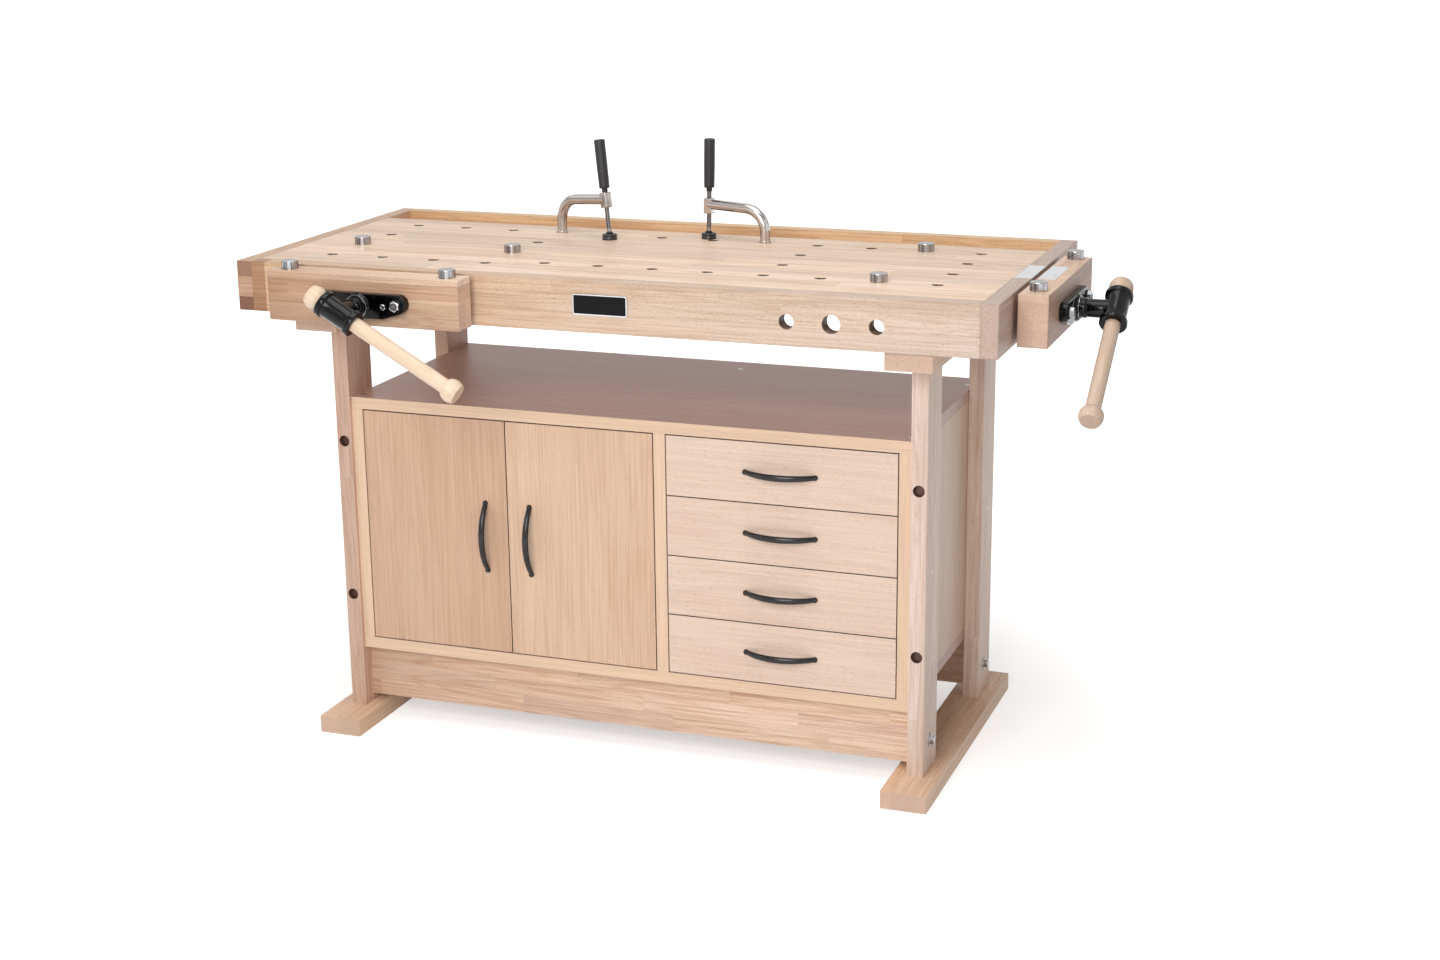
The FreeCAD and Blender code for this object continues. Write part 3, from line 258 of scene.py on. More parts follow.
def lamps():
    """Square soft boxes."""
    for name, place, aim, size, power in LAMPS:
        data = bpy.data.lights.new(name, "AREA")
        data.shape = "SQUARE"
        data.size = size
        data.energy = power
        lamp = bpy.data.objects.new(name, data)
        lamp.location = place
        way = Vector(aim) - Vector(place)
        lamp.rotation_euler = way.to_track_quat("-Z", "Y").to_euler()
        SCENE.collection.objects.link(lamp)


# ---- materials ----
AXES = "xyz"
PALE = srgb(240, 221, 203)
TAN = srgb(212, 176, 146)
BROWN = srgb(170, 128, 98)
PINK = (1.02, 0.985, 0.98)
HONEY = (1.01, 0.97, 0.9)
# half a glue line in mm, between strips and between the ends of two
SEAM, BUTT = 0.35, 0.3


def strips(m, u, v, w, size, start, seed):
    """Glued strips: the place in them on each axis, and the random colour of each one."""
    width, depth, length = size
    across = m.math("DIVIDE", m.math("SUBTRACT", v, start[0]), width * MM)
    deep = m.math("DIVIDE", m.math("SUBTRACT", w, start[1]), depth * MM)
    row, layer = m.math("FLOOR", across), m.math("FLOOR", deep)
    shift = m.white_noise(m.vec(row, layer, seed + 0.5), "Value")
    run = m.math("ADD", m.math("DIVIDE", u, length * MM), m.times(shift, 7.3))
    key = m.vec(row, m.math("ADD", layer, seed + 3.5), m.math("FLOOR", run))
    return (across, deep, run), m.split(m.white_noise(key, "Color"))


def glue_lines(m, runs, size):
    """1 on the lines between strips."""
    marks = []
    for run, length, half in zip(runs, size, (SEAM, SEAM, BUTT)):
        off = m.math("ABSOLUTE", m.math("SUBTRACT", m.math("FRACT", run), 0.5))
        marks.append(m.span(off, 0.5 - half / length, 0.5))
    return m.math("MAXIMUM", m.math("MAXIMUM", marks[0], marks[1]), marks[2])


def worn_edges_and_hole_shade(m, parts, box, streak, bore):
    """Tone of a board's rubbed arrises, and painted shade on the walls of its holes."""
    d = [m.math("MINIMUM", m.math("SUBTRACT", p, low), m.math("SUBTRACT", high, p))
         for p, low, high in zip(parts, *box)]
    least = m.math("MINIMUM", d[0], d[1])
    second = m.math("MAXIMUM", least, m.math("MINIMUM", m.math("MAXIMUM", d[0], d[1]), d[2]))
    ragged = m.math("ADD", second, m.span(streak, 0.3, 0.7, -0.001, 0.001))
    rub = m.span(ragged, 0.0005, 0.004, 0.9, 1.0)
    # painted shade: hole walls darker by bore, as shade falls into them
    inside = m.span(m.math("MINIMUM", least, d[2]), 0.0006, 0.0012, 1.0, bore)
    return m.times(rub, inside)


def patch(tint, x=None, y=None, z=None):
    """A tinted box in a board: low and high on each axis that limits it, in metres."""
    return tint, (x, y, z)


def wood(name, size, grain="x", lay="y", axes=None, light=PALE, dark=TAN, spread=0.2, seed=0,
         start=(0, 0), figure=1.0, flecks=0.35, joint=0.12, rough=0.46, end=0.66,
         end_tint=(1.0, 0.96, 0.93), edge=None, bore=0.45, painted_falloff=None, patches=()):
    """Solid wood: strips glued side by side, growth rings, fibres, flecks and end grain.

    size is a strip's width, depth and length in mm. grain is the axis that the fibres follow
    and lay the one that the strips lie side by side along, or axes gives all three ways.
    start is where the first strip and the first layer begin, in metres. edge is the box of
    the board: its arrises are rubbed, and its holes get painted shade inside, by bore. The
    falloff on X is painted light and shade, from one tint to another between two places."""
    m = Mat(name)
    parts = m.split(m.place)
    if axes:
        u, v, w = (m.dot(m.place, a) for a in axes)
        along = axes[0]
    else:
        third = next(a for a in AXES if a not in (grain, lay))
        u, v, w = (parts[AXES.index(a)] for a in (grain, lay, third))
        along = Vector([float(a == grain) for a in AXES])
    runs, (r, g, b) = strips(m, u, v, w, size, start, seed)
    pu, pv, pw = m.line(r, 7.0, u), m.line(g, 5.0, v), m.line(b, 3.0, w)

    def stretched(length, across):
        return m.vec(m.times(pu, length), m.times(pv, across), m.times(pw, across))

    # growth rings, streaks, fibres and flecks
    slow = m.noise(stretched(1.6, 24), 1.0, 2.0, 0.5, 0.3)
    rings = m.math("SINE", m.times(slow, 70.0 * figure))
    rings = m.math("POWER", m.line(rings, 0.5, 0.5), 2.0)
    streak = m.noise(stretched(5, 260), 1.0, 3.0, 0.6)
    fibre = m.noise(stretched(40, 1600), 1.0, 1.0, 0.5)
    fleck = m.span(m.noise(stretched(210, 1150), 1.0, 0.0, 0.5), 0.66, 0.74)
    fac = m.line(rings, -0.34, m.span(streak, 0.25, 0.75, 0.1, 1.25))
    fac = m.math("ADD", fac, m.span(slow, 0.3, 0.7, -0.12, 0.22), clamp=True)
    colour = m.tinted(m.mix(fac, dark, light), m.mix(b, PINK, HONEY))
    colour = m.mix(m.times(fleck, flecks), colour, BROWN)
    # each strip's tone, and the glue lines
    tone = m.line(m.math("SUBTRACT", g, 0.5), spread, 1.0)
    seam = glue_lines(m, runs, size)
    tone = m.times(m.times(tone, m.span(fibre, 0.3, 0.7, 0.965, 1.02)), m.line(seam, -joint, 1.0))
    if edge:
        tone = m.times(tone, worn_edges_and_hole_shade(m, parts, edge, streak, bore))
    # end grain
    cut = m.span(m.facing(along), 0.6, 0.8)
    colour = m.mix(m.times(cut, 0.55), colour, m.mix(0.45, dark, light))
    pores = m.span(m.noise(m.place, 1500, 1.0), 0.35, 0.65, 0.95 * end, 1.03 * end)
    tone = m.times(tone, m.line(cut, m.math("SUBTRACT", pores, 1.0), 1.0))
    colour = m.scaled(m.mix(cut, colour, m.tinted(colour, end_tint)), tone)
    # painted light and shade: one tint at x0 to another at x1, darker where less light falls
    if painted_falloff:
        x0, x1, tint_a, tint_b = painted_falloff
        colour = m.tinted(colour, m.mix(m.span(parts[0], x0, x1), tint_a, tint_b))
    for tint, sides in patches:
        inside = None
        for p, side in zip(parts, sides):
            if side:
                test = m.times(m.math("GREATER_THAN", p, side[0]), m.math("LESS_THAN", p, side[1]))
                inside = test if inside is None else m.times(inside, test)
        colour = m.mix(inside, colour, m.tinted(colour, tint))
    height = m.line(fibre, 0.5, m.line(seam, -0.8, streak))
    return m.finish(Base_Color=colour, Roughness=m.line(streak, 0.16, rough - 0.08),
                    Specular_IOR_Level=0.42, Normal=m.bump(height, 0.35, 0.00025))


def decor(name, grain, light, dark, seed, edge=None, gap_shade=1.0):
    """Beech-pattern board: long fine lines and slow bands, with a banded front edge.

    edge is the colour of that edge. The last argument is painted shade on the edges of a door
    or drawer front, as against its face, for the dark gaps between the fronts."""
    m = Mat(name)
    parts = m.split(m.place)

    def along_grain(lengthwise, across):
        return [lengthwise if a == grain else across for a in AXES]

    lines = m.vec(*(m.times(p, s) for p, s in zip(parts, along_grain(5.0, 300.0))))
    lines = m.noise(lines, 1.0, 3.0, 0.62)
    bands = m.vec(*(m.line(p, s, seed * 3.1) for p, s in zip(parts, along_grain(1.6, 16.0))))
    bands = m.noise(bands, 1.0, 2.0, 0.5, 0.4)
    arches = m.line(m.math("SINE", m.times(bands, 46.0)), 0.5, 0.5)
    fac = m.line(m.math("POWER", arches, 3.0), -0.22, m.span(lines, 0.28, 0.72, 0.1, 1.2))
    fac = m.math("ADD", fac, m.span(bands, 0.3, 0.7, -0.2, 0.2), clamp=True)
    dashes = m.vec(*(m.times(p, s) for p, s in zip(parts, along_grain(130.0, 1100.0))))
    dashes = m.span(m.noise(dashes, 1.0, 0.0), 0.66, 0.74)
    colour = m.mix(m.times(dashes, 0.3), m.mix(fac, dark, light), BROWN)
    if edge:
        front = m.span(m.dot(m.normal, Vector((0, -1, 0))), 0.6, 0.8)
        colour = m.mix(front, colour, m.mix(fac, tuple(c * 0.84 for c in edge), edge))
    # painted shade: fronts' edges darker than their faces, for the gaps between them
    if gap_shade != 1.0:
        face = m.span(m.facing(Vector((0, 1, 0))), 0.2, 0.5, gap_shade, 1.0)
        behind = m.math("GREATER_THAN", parts[1], at(0, BACK_OF_FRONTS, 0).y)
        colour = m.scaled(colour, m.math("MAXIMUM", face, behind))
    return m.finish(Base_Color=colour, Roughness=m.line(lines, 0.12, 0.32),
                    Specular_IOR_Level=0.45, Normal=m.bump(lines, 0.18, 0.00015))


def enamel():
    """Gloss black paint over a casting."""
    m = Mat("gloss_black_paint")
    peel = m.noise(m.place, 260, 2.0, 0.55)
    dust = m.noise(m.place, 60, 4.0, 0.7)
    colour = m.mix(m.span(dust, 0.5, 0.85, 0.0, 0.4), srgb(3, 3, 4), srgb(20, 18, 20))
    return m.finish(Base_Color=colour, Roughness=m.span(dust, 0.3, 0.8, 0.06, 0.18),
                    Specular_IOR_Level=0.24, Normal=m.bump(peel, 0.25, 0.0003))


def metal(name, colour, rough, swing, scratch, tarnish, painted_reflection=0.0, bands=2.6):
    """Bare or plated metal with fine scratches along one way and cloudy tarnish.

    painted reflections: soft bands round the piece, by the way it faces, darken it by a depth."""
    m = Mat(name)
    lines = m.vec(*(m.times(p, s) for p, s in zip(m.split(m.place), scratch)))
    lines = m.noise(lines, 1.0, 2.0, 0.6)
    cloud = m.noise(m.place, 45, 3.0, 0.6)
    base = m.mix(m.span(cloud, 0.35, 0.75, 0.0, tarnish), colour, tuple(c * 0.62 for c in colour))
    base = m.scaled(base, m.span(lines, 0.3, 0.7, 0.93, 1.05))
    # painted reflections: darker bands by the way the surface faces
    if painted_reflection:
        reflection_bands = m.noise(m.normal, bands, 1.0, 0.5)
        base = m.scaled(base, m.span(reflection_bands, 0.36, 0.6, 1.0 - painted_reflection, 1.0, True))
    gloss = m.line(lines, swing, m.span(cloud, 0.3, 0.7, rough - swing, rough))
    return m.finish(Base_Color=base, Metallic=1.0, Roughness=gloss,
                    Normal=m.bump(lines, 0.25, 0.00006))


def paint(name, colour, wear, rough, peel, strength, metallic=0.0, coat=0.0, shine=0.5):
    """Painted or moulded surface with a fine texture and slight unevenness."""
    m = Mat(name)
    grainy = m.noise(m.place, peel, 2.0, 0.6)
    cloud = m.noise(m.place, 38, 4.0, 0.65)
    base = m.mix(m.span(cloud, 0.4, 0.8, 0.0, 0.35), colour, wear)
    gloss = m.line(grainy, 0.14, m.span(cloud, 0.3, 0.7, rough - 0.1, rough))
    return m.finish(Base_Color=base, Metallic=metallic, Roughness=gloss, Coat_Weight=coat,
                    Specular_IOR_Level=shine, Coat_Roughness=0.15,
                    Normal=m.bump(grainy, strength, 0.00015))


def dress(names, material):
    """Gives CAD nodes one material."""
    for name in names.split():
        node = NODES[name]
        if len(node.material_slots) == 0:
            node.data.materials.append(None)
        for slot in node.material_slots:
            slot.material = material


def soften(names, width):
    """Rounds the sharp edges of CAD boards a little."""
    for name in names.split():
        obj = NODES[name]
        weld = obj.modifiers.new("weld", "WELD")
        weld.merge_threshold = 1e-5
        bevel = obj.modifiers.new("bevel", "BEVEL")
        bevel.width = width * MM
        bevel.segments = 2
        bevel.limit_method = "ANGLE"
        bevel.angle_limit = math.radians(50)
        bevel.harden_normals = True


# ---- mesh helpers ----
def frame_at(origin, out, along):
    """A frame with Z out, X along and Y across."""
    z, x = Vector(out).normalized(), Vector(along).normalized()
    y = z.cross(x)
    m = Matrix((x, y, z)).transposed().to_4x4()
    m.translation = origin
    return m


def shifted(m, x, y, z):
    """A frame moved by mm along its own axes."""
    return m @ Matrix.Translation((x * MM, y * MM, z * MM))


def ring_faces(bm, a, b):
    """Faces between two closed rows of as many points."""
    n = len(a)
    for k in range(n):
        bm.faces.new((a[k], a[(k + 1) % n], b[(k + 1) % n], b[k]))


def lathe(bm, profile, m, n):
    """Adds a surface of revolution about Z. The profile is (radius, height) in mm."""
    rings = []
    for r, z in profile:
        if r == 0:
            rings.append([bm.verts.new(m @ (Vector((0, 0, z)) * MM))])
        else:
            turns = [2 * math.pi * k / n for k in range(n)]
            rings.append([bm.verts.new(m @ (Vector((r * math.cos(t), r * math.sin(t), z)) * MM))
                          for t in turns])
    for a, b in zip(rings, rings[1:]):
        if len(a) == len(b):
            ring_faces(bm, a, b)
            continue
        for k in range(n):
            j = (k + 1) % n
            bm.faces.new((a[0], b[j], b[k]) if len(a) == 1 else (a[k], a[j], b[0]))
    return bm


def arc(cx, cz, r, a0, a1, n):
    """Points of an arc for a profile, angles in degrees."""
    turns = [math.radians(a0 + (a1 - a0) * k / n) for k in range(n + 1)]
    return [(cx + r * math.cos(t), cz + r * math.sin(t)) for t in turns]


def hexagon(bm, corner, height, m, bore=0.0):
    """Hexagon head or nut with turned corners, standing on Z = 0."""
    n = 48
    turned, slope = 0.95, 0.58
    apothem = corner * math.cos(math.radians(30))
    top_r = apothem * turned
    top = Vector((0, 0, height))
    low, mid, cap, hole = [], [], [], []
    for k in range(n):
        t = 2 * math.pi * k / n
        r = apothem / math.cos((t % (math.pi / 3)) - math.pi / 6)
        way = Vector((math.cos(t), math.sin(t), 0))
        shoulder = Vector((0, 0, height - (r - top_r) * slope))
        low.append(bm.verts.new(m @ (way * r * MM)))
        mid.append(bm.verts.new(m @ (way * r * MM + shoulder * MM)))
        cap.append(bm.verts.new(m @ (way * top_r * MM + top * MM)))
        if bore:
            hole.append(bm.verts.new(m @ (way * bore * MM + top * MM)))
    rows = [low, mid, cap] + ([hole] if bore else [])
    for a, b in zip(rows, rows[1:]):
        ring_faces(bm, a, b)
    if not bore:
        bm.faces.new(cap)
    bm.faces.new(list(reversed(low)))


def thread(bm, root, crest, pitch, length, m):
    """Screw thread from Z = 0 up, with flat crests."""
    n = 24
    shape = ((root, 0.0), (crest, 0.3), (crest, 0.5), (root, 0.85))
    last = len(shape) - 1
    steps = int(length / pitch) * n
    grid = []
    for k in range(steps + 1):
        t = 2 * math.pi * k / n
        ring = [Vector((r * math.cos(t), r * math.sin(t), pitch * (k / n + f))) for r, f in shape]
        grid.append([bm.verts.new(m @ (v * MM)) for v in ring])
    for k in range(steps):
        a, b = grid[k], grid[k + 1]
        for j in range(last):
            bm.faces.new((a[j], b[j], b[j + 1], a[j + 1]))
        if k + n + 1 < len(grid):
            bm.faces.new((a[last], b[last], grid[k + n + 1][0], grid[k + n][0]))


def piece(name, bm, material, body, replaces=(), smooth=40):
    """A finished piece from a bmesh in the row frame."""
    bmesh.ops.remove_doubles(bm, verts=bm.verts, dist=1e-7)
    bmesh.ops.recalc_face_normals(bm, faces=bm.faces)
    mesh = bpy.data.meshes.new(name)
    bm.to_mesh(mesh)
    bm.free()
    for p in mesh.polygons:
        p.use_smooth = True
    mesh.set_sharp_from_angle(angle=math.radians(smooth))
    mesh.materials.append(material)
    obj = bpy.data.objects.new(name, mesh)
    SCENE.collection.objects.link(obj)
    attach(obj, body)
    if replaces:
        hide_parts(*replaces)


# ---- wood ----
# heights in metres: the underside of the top's frame, and the jaws' strips by their tints
BOARD_LOW = 0.81
FRONT_JAW_STRIPS, END_JAW_STRIP = (0.862, 0.889), 0.888
# the left corner joint in metres: where its fingers end, how far painted shade runs on the
# apron beside it, the heights where the tint changes, and a place just inside the front face
FINGER_END = at(30, 0, 0).x
JOINT_WIDTH = 0.027
JOINT_LOW, JOINT_HIGH = 0.835, 0.862
FRONT_SKIN = -0.236
# beyond the bench on any axis, in metres
FAR = 1
# painted shade inside the legs' counterbores in mm: half its width, the skin that stays pale
# beside it, and its heights
BORE_HALF, BORE_SKIN, BORE_LOW, BORE_HIGH = 11, 1.5, 100, 700


def dress_top():
    """Apron, field, end caps, rim and tray."""
    joint = (FINGER_END, FINGER_END + JOINT_WIDTH)
    # painted light and shade on the apron: darker towards its left end, and painted shade at the
    # left corner joint, beside the front jaw
    dress("front_apron", wood(
        "apron_beech", (33, 30, 900), "x", "z", spread=0.1, seed=1, start=(BOARD_LOW, 0),
        light=srgb(232, 208, 186), dark=srgb(208, 176, 147), flecks=0.5,
        edge=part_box("front_apron"), painted_falloff=(-0.75, 0.62, (0.86, 0.78, 0.68), (0.865, 0.925, 1.02)),
        patches=[patch((0.81, 0.77, 0.82), x=(-FAR, FINGER_END)),
                 patch((0.58, 0.46, 0.40), x=joint, z=(0, JOINT_LOW)),
                 patch((0.64, 0.54, 0.46), x=joint, z=(JOINT_LOW, FAR))]))
    lo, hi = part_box("bench_field")
    # the dog holes' walls get strong painted shade, by bore
    dress("bench_field", wood(
        "field_beech", (44, 32, 640), "x", "y", seed=5, start=(lo.y, 0.8695), figure=0.8,
        bore=0.12, edge=(Vector((lo.x, lo.y, 0.87)), hi)))
    skin = (-FAR, FRONT_SKIN)
    # the left cap's front face gets painted shade beside the front jaw, over its darker end grain
    caps = {
        "left_end_cap": {
            "seed": 11, "light": srgb(226, 196, 170), "dark": srgb(198, 160, 130), "end": 0.8,
            "patches": [patch((0.38, 0.26, 0.23), y=skin, z=(BOARD_LOW, JOINT_LOW)),
                        patch((0.58, 0.49, 0.47), y=skin, z=(JOINT_HIGH, FAR))]},
        "right_end_cap": {
            "seed": 14, "light": srgb(212, 193, 184), "dark": srgb(186, 158, 142), "end": 0.9},
    }
    for name, looks in caps.items():
        dress(name, wood(
            name + "_beech", (30, 32, 1500), "y", "z", spread=0.12, edge=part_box(name),
            start=(BOARD_LOW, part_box(name)[0].x - 0.001), **looks))
    dress("back_rim", wood(
        "rim_beech", (46, 32, 700), "x", "z", spread=0.1, seed=21, start=(BOARD_LOW, 0),
        light=srgb(238, 204, 162), dark=srgb(206, 162, 120), edge=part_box("back_rim")))
    dress("tray_floor", wood(
        "tray_beech", (50, 10, 800), "x", "y", seed=23,
        light=srgb(226, 194, 162), dark=srgb(200, 160, 126)))


def dress_trestles():
    """Feet, bearers, legs, stretchers and the drawers' runners."""
    dress("feet bearers", wood(
        "rail_beech", (41.5, 34, 700), "y", "x", spread=0.1, seed=31,
        start=(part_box("feet")[0].x, 0), light=srgb(246, 218, 190), dark=srgb(224, 184, 152),
        end=0.8, end_tint=(0.98, 0.98, 1.06)))
    # painted shade inside the legs' counterbores
    bore_shadows = []
    for x in LEG_X:
        for y in LEG_Y:
            lo = at(x - BORE_HALF, y + BORE_SKIN, BORE_LOW)
            hi = at(x + BORE_HALF, y + LEG_WIDTH - BORE_SKIN, BORE_HIGH)
            bore_shadows.append(patch((0.2, 0.14, 0.12), *zip(lo, hi)))
    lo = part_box("legs")[0]
    # painted light and shade on the legs: darker to the left, brighter and bluer to the right
    dress("legs", wood(
        "leg_beech", (45, 36, 900), "z", "y", spread=0.1, seed=35, start=(lo.y, lo.x),
        light=srgb(234, 208, 190), dark=srgb(208, 174, 152), patches=bore_shadows,
        painted_falloff=(-0.6, 0.45, (0.9, 0.85, 0.84), (1.1, 1.2, 1.32))))
    # painted light and shade on the stretchers: darker to the left
    dress("stretchers", wood(
        "stretcher_beech", (34, 40, 300), "x", "z", spread=0.17, seed=41, start=(0.046, -0.2),
        light=srgb(232, 200, 174), dark=srgb(200, 158, 128),
        painted_falloff=(-0.6, 0.1, (0.82, 0.83, 0.86), (1.1, 1.2, 1.32))))
    dress("drawer_runners", wood("runner_beech", (30, 30, 500), "y", "z", seed=45))


def dress_jaws():
    """The wooden jaws of both vises."""
    lo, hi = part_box("front_jaw")
    # painted light and shade on the front jaw: darker towards its left end
    dress("front_jaw", wood(
        "front_jaw_beech", (23, 25, 420), "x", "z", spread=0.14, seed=52, start=(lo.z, lo.y),
        light=srgb(224, 190, 160), dark=srgb(194, 154, 124), end=1.15,
        end_tint=(1.0, 1.05, 1.16), edge=(lo, hi),
        painted_falloff=(lo.x, hi.x, (0.78, 0.75, 0.73), (1.0, 1.06, 1.13)),
        patches=[patch((1.24, 1.3, 1.36), z=(FRONT_JAW_STRIPS[1], FAR)),
                 patch((0.94, 0.88, 0.84), z=FRONT_JAW_STRIPS)]))
    lo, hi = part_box("end_jaw")
    dress("end_jaw", wood(
        "end_jaw_beech", (30, 26, 420), "y", "z", spread=0.16, seed=57, start=(lo.z, lo.x),
        light=srgb(224, 194, 172), dark=srgb(198, 162, 138), end=0.92,
        end_tint=(1.0, 0.99, 1.0), edge=(lo, hi),
        patches=[patch((1.08, 1.12, 1.14), z=(END_JAW_STRIP, FAR)),
                 # painted shade on the jaw's outer end face, which faces away from the lamps
                 patch((0.78, 0.72, 0.72), x=(hi.x - 0.0006, FAR))]))


def dress_wood():
    """All solid wood of the bench, with its edges rounded."""
    dress_top()
    dress_trestles()
    dress_jaws()
    soften("front_apron bench_field left_end_cap right_end_cap back_rim feet bearers stretchers",
           0.9)
    soften("tray_floor", 0.4)


def dress_boards():
    """The cabinet, its doors and its drawers."""
    # how dark the painted shade on the fronts' edges is
    gap_shade = 0.42
    light, dark = srgb(230, 202, 178), srgb(212, 178, 154)
    edge = srgb(233, 201, 172)
    dress("cabinet_sides cabinet_divider", decor("upright_board", "z", light, dark, 1, edge))
    # the decks get a darker, pinker-grey copy of the boards' colours: painted shade and sheen for
    # their place under the top
    dress("cabinet_decks",
          decor("deck_board", "x", srgb(211, 178, 166), srgb(190, 156, 145), 2, edge))
    dress("cabinet_back", decor("back_board", "z", light, dark, 3))
    dress("cabinet_shelf", decor("shelf_board", "x", light, dark, 4, edge))
    # the left door gets a darker copy of the right door's colours: painted shade, as less light
    # reaches the left
    dress("left_door",
          decor("left_door_board", "z", srgb(214, 180, 152), srgb(196, 158, 130), 5, gap_shade=gap_shade))
    dress("right_door",
          decor("right_door_board", "z", srgb(224, 192, 165), srgb(204, 168, 140), 6, gap_shade=gap_shade))
    for i in DRAWERS:
        dress(f"drawer_{i}", decor(f"drawer_{i}_board", "x", srgb(231, 206, 188),
                                   srgb(216, 187, 168), 7 + i, gap_shade=gap_shade))
    soften("cabinet_sides cabinet_decks cabinet_divider left_door right_door drawer_1 drawer_2 "
           "drawer_3 drawer_4 cabinet_shelf", 0.5)


# ---- metal and plastic parts; profiles are (radius, height) in mm ----
# a vise: the middle of its jaw's outer face, the ways out and along, and the handle's angle
VISES = {
    "front": (at(286, -66, VISE_HEIGHT), (0, -1, 0), (1, 0, 0), -30),
    "end": (at(1460, 276, VISE_HEIGHT), (1, 0, 0), (0, 1, 0), 215),
}
# the middle of the handle's socket, out from the jaw
SOCKET_OUT = 79
SOCKET_HALF = ([(14.1, 35.0), (14.6, 35.5)] + arc(22.0, 33.5, 2.0, 90, 0, 5)
               + arc(22.6, 27.0, 1.4, 0, -90, 4)
               + [(21.2, 25.2), (20.3, 24.4), (20.0, 23.2), (20.0, 12)])
NECK = [(0, 18.05), (19.2, 18.05), (19.5, 18.4), (19.5, 19.6), (19.0, 20.0), (17.5, 20.2),
        (17.5, 22.4), (16.9, 23.0), (16.9, 23.8), (17.5, 24.4), (17.5, 29.0), (17.1, 29.6),
        (16.2, 30.2), (15.7, 31.0), (15.7, 32.0), (16.0, 32.6), (16.0, 57), (16.4, 61),
        (17.0, 64), (17.2, 68), (0, 68)]
WEAR_RING = [(17.5, 17.9), (20.5, 17.9), (20.7, 18.1), (20.7, 18.5), (20.5, 18.7),
             (17.5, 18.7), (17.5, 17.9)]
SHANK = [(0, -66), (12, -66), (12, 17), (0, 17)]
SCREW_TIP = [(0, -290), (8.4, -290), (9.7, -288.7), (9.7, -282), (0, -282)]
# root and crest radius, pitch and length of the threads, and where they start
VISE_THREAD, VISE_THREAD_FROM = (9.6, 12.0, 6.0, 222), -288.5
CLAMP_THREAD, CLAMP_THREAD_FROM = (4.0, 4.8, 1.5, 70), 12
# how far the guides and the plate's screws lie beside the vise's screw and across from it
GUIDE_SIDE, GUIDE_RISE = 76, 5
PLATE_SCREW_SIDE, PLATE_SCREW_RISE = 50, 1
GUIDE_ROD = [(0, -290), (7, -290), (8, -289), (8, 15.8), (5.5, 16.2), (5.5, 21.6), (4.6, 22.4),
             (4.6, 24.1), (4.2, 24.5), (0, 24.5)]
GUIDE_WASHER = [(8, 14), (11.2, 14), (11.6, 14.3), (11.6, 15.7), (11.2, 16), (5.6, 16)]
GUIDE_NUT, GUIDE_NUT_BORE, GUIDE_NUT_FROM = (9.8, 7), 5.6, 16
PLATE_SCREW = [(0, -27), (3, -27), (3, 14), (5.5, 14), (5.5, 16.2), (4.9, 17), (2.6, 17),
               (2.2, 15.4), (0, 15.2)]
# the handle's rod in its socket's frame
ROD_R, ROD_LOW, ROD_HIGH = 13.3, -49.5, 242.0
KNOB = ([(ROD_R, 14.0), (15.2, 14.0)] + arc(0, 0, 21, 41, -32, 16)
        + arc(16.3, -11.0, 1.5, -20, -90, 4) + [(15.8, -12.5), (0, -12.5)])
# the end handle's tones are a darker copy of the front one's: painted shade
HANDLE_TONES = {"front": (srgb(240, 222, 204), srgb(222, 196, 172)),
                "end": (srgb(216, 196, 180), srgb(198, 172, 150))}


def vises(mats):
    """Both vises, each in the frame of its jaw's outer face."""
    for kind, (face, out, along, angle) in VISES.items():
        m = frame_at(face, out, along)
        turn = math.radians(angle)
        handle = frame_at(Vector((0, 0, SOCKET_OUT * MM)),
                          Vector((math.cos(turn), math.sin(turn), 0)), (0, 0, 1))
        vise_screw(kind, m, m @ handle, mats)
        vise_guides(kind, m, mats)
        vise_handle(kind, m @ handle)


def vise_screw(kind, m, handle, mats):
    """Socket with two flanges on a turned neck, its wear ring, and the screw behind it."""
    body = kind + "_vise_screw"
    socket = SOCKET_HALF + [(r, -z) for r, z in reversed(SOCKET_HALF)]
    bm = lathe(bmesh.new(), socket + socket[:1], handle, 64)
    lathe(bm, NECK, m, 64)
    piece(kind + "_vise_socket", bm, mats["enamel"], body, (body,), 35)
    bm = lathe(bmesh.new(), WEAR_RING, m, 64)
    piece(kind + "_vise_ring", bm, mats["zinc"], body)
    bm = lathe(bmesh.new(), SHANK, m, 48)
    thread(bm, *VISE_THREAD, shifted(m, 0, 0, VISE_THREAD_FROM))
    lathe(bm, SCREW_TIP, m, 48)
    piece(kind + "_vise_thread", bm, mats["steel"], body)


def vise_guides(kind, m, mats):
    """Guide rods with painted washers and nuts, and the cast plate's screws."""
    rods, washers, nuts, screws = (bmesh.new() for _ in range(4))
    quarter = Matrix.Rotation(math.pi / 2, 4, "Z")
    for s in (-1, 1):
        g = shifted(m, s * GUIDE_SIDE, GUIDE_RISE, 0)
        lathe(rods, GUIDE_ROD, g, 40)
        lathe(washers, GUIDE_WASHER, g, 40)
        hexagon(nuts, *GUIDE_NUT, shifted(g, 0, 0, GUIDE_NUT_FROM) @ quarter, GUIDE_NUT_BORE)
        lathe(screws, PLATE_SCREW, shifted(m, s * PLATE_SCREW_SIDE, PLATE_SCREW_RISE, 0), 32)
    jaw = kind + "_jaw"
    guides = (kind + "_vise_guides",)
    piece(kind + "_vise_nuts_front", nuts, mats["zinc"], jaw, guides, 35)
    piece(kind + "_vise_rods", rods, mats["rod_steel"], jaw, (), 35)
    piece(kind + "_vise_washers", washers, mats["enamel"], jaw, (), 35)
    piece(kind + "_plate_screws", screws, mats["screw"], jaw, (), 35)


